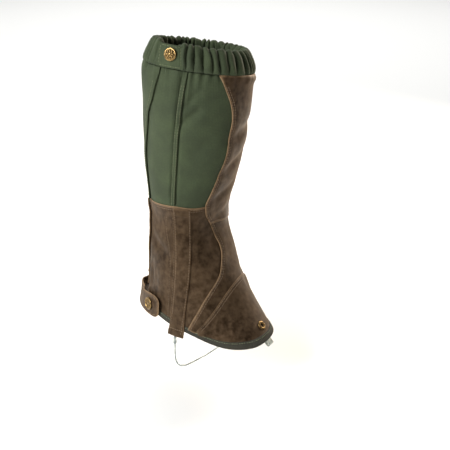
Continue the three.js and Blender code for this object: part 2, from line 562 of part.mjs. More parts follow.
// The slider: two plates joined by a post between the teeth, and a bridge that holds the pull.
const RUN = 0.4;                 // slider to teeth, all round
const sliderHalf = chainOuter + 0.9;
const plateLow = chainLow - RUN;
const plateHigh = chainHigh + RUN;
const BRIDGE_RISE = 2.6;
const bridgeTop = plateHigh + SLIDER_PLATE + BRIDGE_RISE;
const slider = join([
  box(-sliderHalf, sliderHalf, 0, SLIDER_LENGTH, plateLow - SLIDER_PLATE, plateLow),
  box(-sliderHalf, sliderHalf, 0, SLIDER_LENGTH, plateHigh, plateHigh + SLIDER_PLATE),
  box(-CHAIN_HALF_GAP + FIT, CHAIN_HALF_GAP - FIT, SLIDER_LENGTH - 3.5, SLIDER_LENGTH, plateLow - 0.2,
    plateHigh + 0.2),
  box(-1, 1, 0.6, 1.6, plateHigh + 0.2, bridgeTop),
  box(-1, 1, SLIDER_LENGTH - 1.6, SLIDER_LENGTH - 0.6, plateHigh + 0.2, bridgeTop),
  box(-1, 1, 0.6, SLIDER_LENGTH - 0.6, bridgeTop - 0.8, bridgeTop),
]);
const sliderBase = zipLength - STOP_LENGTH - SLIDER_LENGTH - 1;
const sliderSeat = { ...zipSeat, origin: zipBottom.clone().addScaledVector(zipAlong, sliderBase) };
place(add('zip_slider', slider, 'brass'), sliderSeat);

// The pull: a plate with a window that the bridge's lower leg stands in.
const PULL_THICKNESS = 0.9;
const PULL_BAR = 1;
const WINDOW = 7;
const WINDOW_HALF = 1.7;
const plate = new THREE.Shape();
const pullHalf = PULL_WIDTH / 2;
plate.moveTo(-pullHalf, 0).lineTo(pullHalf, 0).lineTo(pullHalf, -PULL_LENGTH + 2)
  .quadraticCurveTo(pullHalf, -PULL_LENGTH, 0, -PULL_LENGTH)
  .quadraticCurveTo(-pullHalf, -PULL_LENGTH, -pullHalf, -PULL_LENGTH + 2).lineTo(-pullHalf, 0);
const windowPath = new THREE.Path();
windowPath.moveTo(-WINDOW_HALF, -PULL_BAR).lineTo(-WINDOW_HALF, -WINDOW).lineTo(WINDOW_HALF, -WINDOW)
  .lineTo(WINDOW_HALF, -PULL_BAR).lineTo(-WINDOW_HALF, -PULL_BAR);
plate.holes.push(windowPath);
const pullSeat = { ...sliderSeat, origin: sliderSeat.origin.clone()
  .addScaledVector(zipAlong, SLIDER_LENGTH / 2 + PULL_BAR / 2)
  .addScaledVector(zipOut, plateHigh + SLIDER_PLATE + FIT) };
place(add('zip_pull', new THREE.ExtrudeGeometry(plate, { depth: PULL_THICKNESS, bevelEnabled: false,
  curveSegments: 4 }), 'brass'), pullSeat);

// ---- lace hook at the front hem ------------------------------------------------------------------
const HOOK_ANGLE = 4;
const HOOK_WIDTH = 9;
const HOOK_PLATE = 1;
const HOOK_DROP = 24;            // rivet's centre to the bottom of the hook
const HOOK_TOP = 7;              // rivet's centre to the top of the plate
const HOOK_TIP = 7;              // height of the hook's free end above its bend
const HOOK_MOUTH = 3.8;
const HOOK_INSET = 1.4;          // clears the curved leather and the tape
const EYELET_RADIUS = 6;
const EYELET_BORE = 2.5;
const EYELET_WALL = 0.5;
const WASHER_THICKNESS = 0.8;
const hookSeat = seatOn(sleeve, HOOK_ANGLE, hemTop(HOOK_ANGLE) + EYELET_RADIUS + 1, 0);
const eyeletTube = EYELET_BORE + EYELET_WALL;
pierce(panel.vamp_leather, hookSeat, eyeletTube + SHANK_CLEARANCE);
const plateFace = -LEATHER - HOOK_INSET;
const plateBack = plateFace - HOOK_PLATE;
place(add('hook_eyelet', turned([[EYELET_BORE, plateFace + FIT], [eyeletTube, plateFace + FIT],
  [eyeletTube, FIT], [EYELET_RADIUS, FIT], [EYELET_RADIUS - 0.3, FIT + 1], [EYELET_BORE + 1, FIT + 1.3],
  [EYELET_BORE, FIT + 0.7], [EYELET_BORE, plateFace + FIT]], 24), 'brass'), hookSeat);
const washerTop = plateBack - FIT;
const washerBottom = washerTop - WASHER_THICKNESS;
place(add('hook_washer', turned([[0, washerBottom], [EYELET_RADIUS - 1, washerBottom],
  [EYELET_RADIUS - 1, washerTop], [0, washerTop]]), 'brass'), hookSeat);
const mouthBack = plateBack - HOOK_MOUTH;
const mouthMiddle = plateBack - HOOK_MOUTH / 2;
const hookTip = -HOOK_DROP + HOOK_TIP;
const hookSide = new THREE.Shape();
hookSide.moveTo(plateFace, HOOK_TOP).lineTo(plateBack, HOOK_TOP).lineTo(plateBack, -HOOK_DROP)
  .absarc(mouthMiddle, -HOOK_DROP, HOOK_MOUTH / 2, 0, -Math.PI, true)
  .lineTo(mouthBack, hookTip).lineTo(mouthBack - HOOK_PLATE, hookTip)
  .lineTo(mouthBack - HOOK_PLATE, -HOOK_DROP)
  .absarc(mouthMiddle, -HOOK_DROP, HOOK_MOUTH / 2 + HOOK_PLATE, Math.PI, 2 * Math.PI, false)
  .lineTo(plateFace, HOOK_TOP);
const hook = new THREE.ExtrudeGeometry(hookSide, { depth: HOOK_WIDTH, bevelEnabled: false, curveSegments: 8 })
  .translate(0, 0, -HOOK_WIDTH / 2)
  .applyMatrix4(new THREE.Matrix4().set(0, 0, 1, 0, 0, 1, 0, 0, 1, 0, 0, 0, 0, 0, 0, 1));
place(add('lace_hook', flipped(hook), 'steel'), hookSeat);

// ---- wire under the sole -------------------------------------------------------------------------
// Each ferrule hangs from a round top under its strip, so that the wire can swing to and fro.
const ferruleZ = STRIP_BOTTOM - FIT - FERRULE_RADIUS;
const stripMiddle = BINDING_PROUD + LAY_GAP + LEATHER / 2;
const ferrule = [[0, -FERRULE_LENGTH], [FERRULE_RADIUS - 0.3, -FERRULE_LENGTH],
  [FERRULE_RADIUS, -FERRULE_LENGTH + 0.4], [FERRULE_RADIUS, 0], [FERRULE_RADIUS * 0.87, FERRULE_RADIUS * 0.5],
  [FERRULE_RADIUS * 0.5, FERRULE_RADIUS * 0.87],
  [0, FERRULE_RADIUS]];
const ferruleAt = {};
for (const [name, centre] of [['outer', outerStrip], ['inner', innerStrip]]) {
  const spot = at(sleeve, centre(0), STRIP_BOTTOM, stripMiddle).setZ(ferruleZ);
  ferruleAt[name] = spot;
  add(`wire_ferrule_${name}`, turned(ferrule, 12), 'steel').position.copy(spot);
}
const wireStart = ferruleZ - FERRULE_LENGTH - FIT;
const outerX = ferruleAt.outer.x;
const innerX = ferruleAt.inner.x;
const wireY = ferruleAt.outer.y;
const wireHalf = [[61.5, -22], [60.5, -31], [57, -39], [50, -45], [40, -48.5], [26, -50], [12, -50.7]];
const wirePoints = [[outerX, wireY, wireStart], [outerX, wireY, wireStart - 4],
  ...wireHalf.map(([x, z]) => [-x, wireY, z]), [0, wireY, -51],
  ...wireHalf.map(([x, z]) => [x, wireY, z]).reverse(),
  [innerX, wireY, wireStart - 4], [innerX, wireY, wireStart]];
const wireStops = wirePoints.map((p) => new THREE.Vector3(...p));
const wirePath = new THREE.CatmullRomCurve3(wireStops, false, 'centripetal');
const wireSection = new THREE.Shape();
wireSection.absarc(0, 0, WIRE_RADIUS, 0, 2 * Math.PI, false);
add('stirrup_wire', new THREE.ExtrudeGeometry(wireSection, { steps: 44, extrudePath: wirePath,
  curveSegments: 4, bevelEnabled: false }), 'steel');

// ---- axes of motion: each points so that a positive turn opens the piece ---------------------------
function hinge(angle, low, high, offset) {
  const bottom = at(limb, angle, low, offset);
  const top = at(limb, angle, high, offset);
  return { point: bottom.clone().lerp(top, 0.5), axis: bottom.clone().sub(top).normalize() };
}
gaiter.userData.axes = {
  flap_fold: hinge(FLAP_HINGE, FLAP_BOTTOM, LEG_HEIGHT, FLAP_LIFT + LAY_GAP),
  cuff_tab_fold: hinge(CUFF_TAB_HINGE - 0.5, cuffSeam(CUFF_TAB_HINGE), cuffSeam(CUFF_TAB_HINGE) + CUFF_HEIGHT,
    TAB_INNER + FABRIC + FIT),
  ankle_tab_fold: hinge(ANKLE_TAB_START - 0.5, ANKLE_TAB_BOTTOM, ANKLE_TAB_TOP,
    ankleTabInner + LEATHER + FIT),
  zip_slide: { point: sliderSeat.origin, axis: zipAlong.clone().negate(), travel: sliderBase - ZIP_END - 1 },
  pull_swing: { point: pullSeat.origin.clone().addScaledVector(zipOut, PULL_THICKNESS / 2)
    .addScaledVector(zipAlong, -PULL_BAR / 2), axis: zipAcross.clone().negate() },
  stirrup_swing: { point: ferruleAt.outer, axis: ferruleAt.inner.clone().sub(ferruleAt.outer).normalize() },
};

export default gaiter;
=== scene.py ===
# %% [markdown]
# # A walking gaiter
# A gaiter is a sleeve of cloth and leather that closes round the leg and the top of the boot.
# Everything here is placed with two numbers: an angle round the leg and a height up it. A shape is
# then a formula on whole arrays of those two numbers, so one idea serves every panel and seam.

# %% Load the frame
import math

import bpy
import numpy as np
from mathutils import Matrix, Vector


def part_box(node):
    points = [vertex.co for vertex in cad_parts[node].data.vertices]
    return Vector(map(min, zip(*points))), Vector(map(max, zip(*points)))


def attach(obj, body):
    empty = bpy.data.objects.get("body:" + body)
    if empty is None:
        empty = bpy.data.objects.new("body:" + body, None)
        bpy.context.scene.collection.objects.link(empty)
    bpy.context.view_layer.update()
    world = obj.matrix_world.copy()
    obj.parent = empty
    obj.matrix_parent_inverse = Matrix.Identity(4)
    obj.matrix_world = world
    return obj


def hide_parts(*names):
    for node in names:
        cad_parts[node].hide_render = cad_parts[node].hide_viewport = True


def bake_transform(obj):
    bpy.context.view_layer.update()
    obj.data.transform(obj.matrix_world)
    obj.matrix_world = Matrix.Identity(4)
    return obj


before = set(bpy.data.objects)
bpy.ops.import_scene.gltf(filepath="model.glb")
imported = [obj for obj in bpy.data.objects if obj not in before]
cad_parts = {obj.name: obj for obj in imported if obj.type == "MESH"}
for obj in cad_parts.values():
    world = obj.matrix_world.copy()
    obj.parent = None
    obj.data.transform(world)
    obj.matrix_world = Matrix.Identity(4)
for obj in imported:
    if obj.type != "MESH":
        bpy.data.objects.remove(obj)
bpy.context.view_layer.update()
MM = 0.001

# %% [markdown]
# ## Camera
# The camera comes first, because it decides how much detail each piece needs. It stands to the outer
# side of the leg and a little above it, with a long lens that keeps the leg's sides nearly parallel.

# %% Camera
CAMERA_AT = Vector((-813.3, -704.7, 553.6)) * MM
HEADING = math.radians(-50.87)
PITCH = math.radians(21.29)
look = Vector((-math.sin(HEADING) * math.cos(PITCH), math.cos(HEADING) * math.cos(PITCH), -math.sin(PITCH)))
lens = bpy.data.cameras.new("camera")
lens.lens = 72
lens.sensor_width = 36
camera = bpy.data.objects.new("camera", lens)
camera.location = CAMERA_AT
camera.rotation_mode = "QUATERNION"
camera.rotation_quaternion = look.to_track_quat("-Z", "Y")
bpy.context.scene.collection.objects.link(camera)
bpy.context.scene.camera = camera
print("camera looks along", tuple(round(x, 3) for x in look))

# %% [markdown]
# ## Curves through a few points
# A pattern cutter marks a seam with a few points and draws a smooth line through them. This does the
# same: a cubic between each pair of points that keeps the slope of their neighbours.


# %% Curves
LEG_HEIGHT = 340


def curve(points):
    """A cubic through (place, value) points. Its slope at each is that of a line from the point before
    to the point after."""
    x, y = np.array(points, float).T
    before = np.maximum(np.arange(len(x)) - 1, 0)
    after = np.minimum(np.arange(len(x)) + 1, len(x) - 1)
    slope = (y[after] - y[before]) / (x[after] - x[before])

    def value(place):
        k = np.clip(np.searchsorted(x, place) - 1, 0, len(x) - 2)
        width = x[k + 1] - x[k]
        t = np.clip((place - x[k]) / width, 0, 1)
        ends = (2 * t**3 - 3 * t**2 + 1) * y[k] + (3 * t**2 - 2 * t**3) * y[k + 1]
        return ends + width * ((t**3 - 2 * t**2 + t) * slope[k] + (t**3 - t**2) * slope[k + 1])

    return value


def along_leg(points):
    """The same, with the places given as shares of the leg's height."""
    return curve([(share * LEG_HEIGHT, value) for share, value in points])


def always(value):
    """A function that gives this value everywhere."""
    return lambda place: value + 0 * place


def mix(a, b, share):
    """Straight between a at 0 and b at 1."""
    return a + (b - a) * share


def smooth(x, low, high):
    """0 up to low, 1 from high, and an S between."""
    t = np.clip((x - low) / (high - low), 0, 1)
    return t * t * (3 - 2 * t)


print("a curve's middle:", float(curve([(0, 0), (1, 1), (2, 0)])(0.5)))

# %% [markdown]
# ## The leg
# The leg is two half ellipses at each height, one in front and one behind. The sleeve follows it,
# except along the zip: cloth can't bend along a closed zip, so there it lies flat and a little sunk.

# %% The leg and the sleeve
half_width = along_leg([(0, 60), (0.13, 57), (0.25, 54), (0.415, 48), (0.57, 54), (0.75, 61), (0.97, 69),
                        (1.03, 68), (1.12, 61)])
front = along_leg([(0, 120), (0.13, 79), (0.25, 50), (0.415, 26), (0.57, 42), (0.75, 60), (0.97, 69),
                   (1.03, 66), (1.12, 52)])
back = along_leg([(0, 88), (0.13, 82), (0.25, 75), (0.415, 75), (0.57, 72), (0.75, 69), (0.97, 63),
                  (1.03, 60), (1.12, 47)])
MEAN_RADIUS = 62


def limb(angle, z):
    """Half ellipses in front and behind: x is half the width times the sine, y the reach times the cosine."""
    a = np.radians(angle)
    reach = np.where(np.cos(a) > 0, front(z), back(z))
    return np.stack([half_width(z) * np.sin(a), -reach * np.cos(a), z + 0 * a], -1)


def unit(v):
    """Vectors of length 1."""
    return v / np.linalg.norm(v, axis=-1, keepdims=True)


def normal_of(surface, angle, z):
    """Straight out of a surface: its step round the leg crossed with its step up it."""
    around = surface(angle + 0.5, z) - surface(angle - 0.5, z)
    up = surface(angle, z + 0.5) - surface(angle, z - 0.5)
    return unit(np.cross(around, up))


def degrees(surface, angle, z, length):
    """Degrees round the leg that make a length in millimetres."""
    return length / np.linalg.norm(surface(angle + 0.5, z) - surface(angle - 0.5, z), axis=-1)


def arc(angle):
    """Millimetres round the leg, near enough for a pattern."""
    return np.radians(angle) * MEAN_RADIUS


def cuff_seam(angle):
    """The seam under the cuff tilts with the calf: a cosine of 10 mm."""
    return LEG_HEIGHT + 0.5 - 10 * np.cos(np.radians(angle - 67))


ZIP_ANGLE, ZIP_FLAT, ZIP_FADE = -150, 9, 22
ZIP_LOW = 44
ZIP_HIGH = cuff_seam(ZIP_ANGLE) - 14


def sunk(z, depth):
    """A place on the zip's line, that deep under the limb."""
    out = normal_of(limb, ZIP_ANGLE, z)
    out[2] = 0
    return limb(ZIP_ANGLE, z) - depth * out


zip_bottom, zip_top = sunk(ZIP_LOW, 14), sunk(ZIP_HIGH, 6)
zip_along = unit(zip_top - zip_bottom)
zip_across = unit(np.cross(zip_along, normal_of(limb, ZIP_ANGLE, 0.5 * LEG_HEIGHT)))
zip_out = np.cross(zip_across, zip_along)
zip_length = float(np.linalg.norm(zip_top - zip_bottom))


def sleeve(angle, z):
    """The limb, blended into a flat strip near the zip, on which a degree is a millimetre."""
    turn = np.mod(angle - ZIP_ANGLE + 180, 360) - 180
    fade = (1 - smooth(z, ZIP_HIGH + 2, ZIP_HIGH + 14)) * smooth(z, ZIP_LOW - 24, ZIP_LOW - 6)
    share = ((1 - smooth(np.abs(turn), ZIP_FLAT, ZIP_FADE)) * fade)[..., None]
    rise = ((z - ZIP_LOW) / (ZIP_HIGH - ZIP_LOW))[..., None]
    flat = mix(zip_bottom, zip_top, rise) + turn[..., None] * zip_across
    return mix(limb(angle, z), flat, share)


print("zip length", round(zip_length, 1), "mm")

# %% [markdown]
# ## Seams
# Seams across the leg give a height for each angle, and seams up the leg give an angle for each
# height. Each is drawn once, and both panels that meet there use it.

# %% Seams
def leather_top(angle):
    """The leather's upper edge, nearly level."""
    return 0.5 * LEG_HEIGHT + 3 * np.cos(np.radians(angle + 60)) + 3 * np.exp(-((angle + 84) / 26) ** 2)


def ankle_seam(angle):
    """The seam at the bend of the ankle."""
    return 0.425 * LEG_HEIGHT - 0.1 * angle


def vamp_seam(angle):
    """The vamp's upper seam: an arch over the foot, a parabola of the angle."""
    return 0.216 * LEG_HEIGHT - 0.0084 * (angle - 15) ** 2


hem_top = curve([(-180, 38), (-148, 35), (-110, 30), (-92, 25), (-75, 19.5), (-50, 10.5), (-25, 11),
                 (0, 14), (25, 14), (55, 12), (90, 18), (130, 30), (180, 38), (212, 34), (240, 28)])
shin_outer = along_leg([(0, -76), (0.06, -72.5), (0.15, -54.5), (0.197, -39.5), (0.241, -21),
                        (0.274, -11.5), (0.318, -0.5), (0.353, 1), (0.424, -9), (0.465, -21),
                        (0.512, -27.5), (0.541, -25.5), (0.624, -18.5), (0.7, -13.5), (0.794, -12),
                        (0.835, -11), (0.888, -13.5), (0.944, -20), (1, -27)])
shin_inner = along_leg([(0, 108), (0.06, 104), (0.197, 84), (0.29, 66), (0.353, 58), (0.44, 74),
                        (0.512, 84), (0.7, 70), (0.835, 68), (1, 84)])
fell = along_leg([(0.5, -86), (0.64, -79), (0.775, -73.5), (0.9, -67), (1.02, -60)])
flap_edge = along_leg([(0.12, -133), (0.22, -133), (0.4, -132), (0.5, -130.5), (0.63, -127.5),
                       (0.72, -124), (0.84, -112.5), (0.88, -105), (0.92, -97.5), (1.03, -86.5),
                       (1.12, -88)])
outer_strip = along_leg([(0, -85), (0.1, -81), (0.33, -68), (0.52, -67)])
inner_strip = along_leg([(0, 85), (0.1, 88), (0.33, 92), (0.52, 95)])
ZIP_FRONT, ZIP_REAR = ZIP_ANGLE + 5, ZIP_ANGLE + 355
BACK_SEAM = 140
VAMP_OUTER, VAMP_INNER = -66, 96
CUFF_HEIGHT = 28.5
print("the shin panel is", round(float(shin_inner(300.0) - shin_outer(300.0))), "degrees wide near its top")

# %% [markdown]
# ## How cloth lies
# Cloth and leather are never smooth. Elastic gathers the cuff into uneven pleats that run down past
# its seam, the body of the sleeve swells softly, and it creases where it is pulled. Each of these is
# a formula in millimetres, out from the leg. Every layer uses the same sum, so layers stay stacked.


# %% Relief
def waves(a, b, size, seed, count=9):
    """Soft unevenness, about 1 high: cosines in seeded directions, with about that wavelength."""
    rng = np.random.default_rng(seed)
    turn, shift = rng.uniform(0, 2 * np.pi, (2, count))
    number = 2 * np.pi / size * rng.uniform(0.6, 1.5, count)
    total = 0
    for k in range(count):
        total = total + np.cos(number[k] * (a * np.cos(turn[k]) + b * np.sin(turn[k])) + shift[k])
    return total / math.sqrt(count)


PLEAT = 9.5
SWELL = 0.9
FOLD_DEPTH = 3.0
FLAP_DRAW = 2.2
CREASE_STRENGTH = 1.9


def phase(angle, rise):
    """Where a place is in its pleat: even steps along the cuff, made uneven by slow waves."""
    s = arc(angle)
    return np.pi * (s - 0.12 * rise) / PLEAT + 1.3 * waves(s, 0.15 * rise, 40, 3)


def pleats(angle, z):
    """1 on a pleat's round crest and 0 in its sharp valley: a root of the sine of its phase."""
    return np.abs(np.sin(phase(angle, z - cuff_seam(angle)))) ** 0.65


def folds(angle, z):
    """The same pleats run out below the seam: 1 in a broad hollow and 0 between, a square of the cosine."""
    return np.cos(phase(angle, np.minimum(z - cuff_seam(angle), 0))) ** 2


def crease(angle, z, start, end, width, depth):
    """A groove from start to end, each an angle and a height: a bell across it that fades to its ends."""
    ax, az, bx, bz = arc(start[0]), start[1], arc(end[0]), end[1]
    dx, dz = bx - ax, bz - az
    along = ((arc(angle) - ax) * dx + (z - az) * dz) / (dx * dx + dz * dz)
    near = np.clip(along, 0, 1)
    away = np.hypot(arc(angle) - ax - near * dx, z - az - near * dz)
    return -depth * np.exp(-(away / width) ** 2) * np.sqrt(np.clip(4 * near * (1 - near), 0.05, 1))


# Each crease is its start, its end, its width and its depth.
CREASES = [
    ((-71, 279), (-45, 304), 6, 2.2), ((-64, 300), (-46, 326), 5, 1.4), ((-60, 240), (-30, 268), 11, 1.1),
    ((-14, 258), (44, 276), 9, 1.6), ((-20, 214), (40, 238), 8, 1.5), ((-24, 178), (30, 196), 7, 1.2),
    ((-8, 150), (50, 158), 6, 1.4), ((-132, 128), (-96, 104), 7, 1.3), ((-124, 96), (-100, 118), 6, 0.9),
    ((-122, 92), (-120, 52), 4, 1.2), ((-112, 84), (-113, 48), 4, 0.8), ((-36, 96), (4, 132), 8, 1.0),
    ((100, 120), (150, 100), 8, 1.4), ((95, 150), (140, 140), 7, 1.2), ((150, 120), (190, 108), 7, 1.3),
    ((80, 270), (125, 300), 9, 1.2), ((4, 331), (44, 325), 5, -1.4), ((20, 60), (60, 82), 8, 1.0),
]


def relief(angle, z):
    """Out from the leg: soft swelling, pleats that run down from the cuff's seam, and creases."""
    s = arc(angle)
    below = np.maximum(cuff_seam(angle) - z, 0)
    run = np.clip(12 + 9 * waves(s, 0 * s, 30, 5), 3, 34)
    leather = smooth(z - leather_top(angle), -10, 10) * (1 - 0.75 * on_shin(angle, z))
    total = SWELL * waves(s, 0.7 * z, 80, 11) * smooth(z, 20, 70)
    total = total - FLAP_DRAW * np.exp(-below / 9) * smooth(-angle, 92, 112)
    total = total - FOLD_DEPTH * folds(angle, z) * np.exp(-below / run) * leather
    for start, end, width, depth in CREASES:
        total = total + CREASE_STRENGTH * crease(angle, z, start, end, width, depth)
    return total


def on_shin(angle, z):
    """1 well inside the shin panel, 0 outside it."""
    return smooth(angle - shin_outer(z), -2, 4) * smooth(shin_inner(z) - angle, -2, 4)


print("pleats from", float(pleats(np.array([10.0]), np.array([350.0]))[0]))

# %% [markdown]
# ## From arrays to a mesh
# A piece of cloth is a sheet with a thickness and a rounded edge. The grid has a few extra rows near
# each edge, set on a quarter circle, so the edge turns over as a folded or cut edge does.


# %% Meshes
def build(name, points, faces, finish, nodes=(), body="sleeve", uv=None, paint=None, sharp=60, caps=()):
    """Puts arrays into a mesh. Points are in millimetres, and a finish is a material and a slot name, which is
    not used. A body is one name, to which the piece is attached, or two names and two places, which are not
    used: the piece then stays where it is. Paint holds a value for each point."""
    material, slot = finish
    used, index = np.unique(faces, return_inverse=True)
    faces = index.reshape(faces.shape)
    points = points[used] * MM
    mesh = bpy.data.meshes.new(name)
    mesh.from_pydata(points.tolist(), [], faces.tolist() + list(caps))
    if uv is not None:
        layer = mesh.uv_layers.new(name="cut")
        layer.data.foreach_set("uv", (uv[used] * MM)[faces.ravel()].astype(np.float32).ravel())
    for key, values in (paint or {}).items():
        mesh.attributes.new(key, "FLOAT", "POINT").data.foreach_set("value", values[used].astype(np.float32))
    mesh.polygons.foreach_set("use_smooth", np.ones(len(mesh.polygons), bool))
    mesh.set_sharp_from_angle(angle=math.radians(sharp))
    mesh.materials.append(material)
    piece = bpy.data.objects.new(name, mesh)
    bpy.context.scene.collection.objects.link(piece)
    if isinstance(body, str):
        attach(piece, body)
    else:
        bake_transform(piece)
    if nodes:
        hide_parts(*nodes)
    print(f"{name}: {len(points)} points")
    return piece


def stations(length, cell, edge):
    """Parameters from 0 to 1, a cell apart, with a quarter circle of them at each end."""
    bend = edge * (1 - np.cos(np.radians([0, 30, 60]))) / length
    middle = np.linspace(edge / length, 1 - edge / length, max(3, round(length / cell)))
    return np.concatenate([bend, middle, 1 - bend[::-1]])


def fullness(t, length, edge):
    """Share of the thickness at a parameter: a quarter circle at each end, 1 between."""
    near = np.clip(np.minimum(t, 1 - t) * length / edge, 0, 1)
    return np.sqrt(1 - (1 - near) ** 2)


def quads_of(rows, columns, closed=False):
    """Corner numbers of a grid's faces, row by row."""
    grid = np.arange(rows * columns).reshape(rows, columns)
    if closed:
        grid = np.concatenate([grid, grid[:, :1]], 1)
    corners = [grid[:-1, :-1], grid[:-1, 1:], grid[1:, 1:], grid[1:, :-1]]
    return np.stack(corners, -1).reshape(-1, 4)


def shell(name, base, size, level, thickness, finish, nodes, body="sleeve", cell=2.2, keep=None, edge_wear_and_highlight_share=1.0):
    """A sheet of a thickness whose outer face is at a level over its base, with its edges rounded."""
    edge = HIDE / 2 if callable(thickness) else thickness / 2
    u, v = np.meshgrid(stations(size[0], cell, edge), stations(size[1], cell, edge))
    point, out, angle, z = base(u, v)
    full = fullness(u, size[0], edge) * fullness(v, size[1], edge)
    deep = thickness(angle, z) / 2 if callable(thickness) else edge
    middle = level(angle, z) - deep
    walls = [point + out * (middle + side * deep * full)[..., None] for side in (1, -1)]
    count = u.size
    faces = quads_of(*u.shape)
    if keep is not None:
        faces = faces[keep(angle, z).ravel()[faces].all(1)]
    faces = np.concatenate([faces, faces[:, ::-1] + count])
    rim = np.arange(2 * count)
    edges = np.flatnonzero(full.ravel() < 1e-9)
    rim[count + edges] = edges
    near = np.minimum(np.minimum(u, 1 - u) * size[0], np.minimum(v, 1 - v) * size[1])
    # The edges are painted paler within about a millimetre: partly worn wax, partly a painted highlight on the
    # rounded edges.
    paint = {"wear": edge_wear_and_highlight_share * np.tile(np.exp(-near.ravel() / 0.8), 2)}
    uv = np.tile(np.stack([arc(angle), z], -1).reshape(-1, 2), (2, 1))
    points = np.concatenate([w.reshape(-1, 3) for w in walls])
    return build(name, points, rim[faces], finish, nodes, body, uv, paint)


def four_sided(left, right, below, above, insets=(0, 0, 0, 0), surface=sleeve):
    """Places in a panel between two seams up the leg and two across it, drawn in by four insets in mm.
    Each pass moves a place to where the seams at its own height and angle put it."""

    def base(u, v):
        z = mix(below(0 * v), above(0 * v), v)
        angle = mix(left(z), right(z), u)
        for _ in range(30):
            per_mm = degrees(surface, angle, z, 1)
            wanted = mix(left(z) + insets[0] * per_mm, right(z) - insets[1] * per_mm, u)
            angle = mix(angle, wanted, 0.6)
            z = mix(z, mix(below(angle) + insets[2], above(angle) - insets[3], v), 0.6)
        return surface(angle, z), normal_of(surface, angle, z), angle, z

    return base


# %% [markdown]
# ## Materials
# Each material starts from what the real one is. Colours are written as a painter would, in sRGB hex,
# and one function makes them linear. Patterns are sized in millimetres.


# %% Material helpers
def linear(text):
    """An sRGB hex colour as linear red, green, blue and alpha."""
    values = [int(text[k:k + 2], 16) / 255 for k in (1, 3, 5)]
    return [x / 12.92 if x <= 0.04045 else ((x + 0.055) / 1.055) ** 2.4 for x in values] + [1]


def add_node(tree, kind, inputs=None, **settings):
    """Adds a node, sets it, and fills its inputs with values or links."""
    made = tree.nodes.new("ShaderNode" + kind)
    for key, value in settings.items():
        setattr(made, key, value)
    for key, value in (inputs or {}).items():
        if isinstance(value, bpy.types.NodeSocket):
            tree.links.new(value, made.inputs[key])
        else:
            made.inputs[key].default_value = value
    return made


def new_material(name, **settings):
    """A material with one principled shader, and its tree."""
    material = bpy.data.materials.new(name)
    material.use_nodes = True
    tree = material.node_tree
    shader = tree.nodes["Principled BSDF"]
    for key, value in settings.items():
        shader.inputs[key.replace("_", " ")].default_value = value
    return material, tree, shader


def blotches(tree, where, size, seed, detail=4.0):
    """Noise of a size in mm, from 0 to 1, on a vector in metres."""
    moved = add_node(tree, "Mapping", {"Vector": where, "Location": (seed, 0.37 * seed, 0)})
    noise = add_node(tree, "TexNoise", {"Vector": moved.outputs[0], "Scale": 1 / (size * MM),
                                        "Detail": detail})
    return noise.outputs["Fac"]


def blend_colour(tree, share, first, second):
    """A mix of two colours, each a hex text or a socket."""
    sides = [linear(c) if isinstance(c, str) else c for c in (first, second)]
    made = add_node(tree, "Mix", {0: share, 6: sides[0], 7: sides[1]}, data_type="RGBA")
    return made.outputs[2]


def steps(tree, value, low, high):
    """A value's range, low to high, stretched to 0 to 1."""
    return add_node(tree, "MapRange", {"Value": value, "From Min": low, "From Max": high}).outputs[0]


def times(tree, a, b):
    """One value times another."""
    return add_node(tree, "Math", {0: a, 1: b}, operation="MULTIPLY").outputs[0]


def emboss(tree, shader, height, strength, distance):
    """Bends the shading by a height from 0 to 1, over a distance in millimetres."""
    raised = add_node(tree, "Bump", {"Height": height, "Strength": strength, "Distance": distance * MM})
    tree.links.new(raised.outputs[0], shader.inputs["Normal"])


# %% [markdown]
# Waterproof polyester: a dense plain weave of textured yarn, dyed in the yarn. Textured yarn takes
# dye unevenly, which gives the cloth its heathered green, and it scatters light, so it looks dry.


# %% Woven cloth
WAVE_BANDS = 0.159  # a wave texture repeats 2 pi times in a unit, so this share makes it one


def woven(name, dark, middle, light, thread, rough=0.9, bump=0.25):
    """Cloth on the piece's own UV map: threads across and along, and uneven dye."""
    material, tree, shader = new_material(name, Roughness=rough, Sheen_Weight=0.06, Sheen_Roughness=0.5,
                                          Sheen_Tint=linear(light))
    where = add_node(tree, "UVMap", uv_map="cut").outputs[0]
    big = steps(tree, blotches(tree, where, 30, 1), 0.35, 0.65)
    small = steps(tree, blotches(tree, where, 2.2, 2, 2), 0.3, 0.7)
    colour = blend_colour(tree, big, middle, light)
    colour = blend_colour(tree, times(tree, small, 0.3), colour, dark)
    rows = [add_node(tree, "TexWave", {"Vector": where, "Scale": WAVE_BANDS / (thread * MM), "Distortion": 0.6},
                     bands_direction=axis).outputs["Fac"] for axis in "XY"]
    weave = times(tree, *rows)
    shaded = blend_colour(tree, times(tree, weave, 0.35), colour, dark)
    tree.links.new(shaded, shader.inputs["Base Color"])
    emboss(tree, shader, weave, bump, thread * 0.4)
    return material


# Threads are 0.35 mm apart on the real cloth, and are drawn at 0.9 mm so that they show.
polyester = woven("waterproof_polyester", "#1c2412", "#2b351e", "#374227", 0.9)
tape_cloth = woven("woven_binding_tape", "#17170f", "#242319", "#343226", 1.2, 0.85, 0.5)
zip_cloth = woven("woven_zip_tape", "#2a2e24", "#3c4234", "#4b5242", 0.8)
elastic_cloth = woven("woven_elastic", "#1d1f1b", "#2b2d28", "#3a3d36", 1.0)
print("cloth materials", [m.name for m in (polyester, tape_cloth, zip_cloth, elastic_cloth)])

# %% [markdown]
# Waxed nubuck: cowhide sanded on its grain side and filled with wax. Wax darkens it, and where it is
# bent or worn the wax moves and the hide shows paler. Its edges are painted tan: partly that worn wax, partly a
# painted highlight where the rounded edges catch the light.


# %% Leather
GRAIN = 0.9


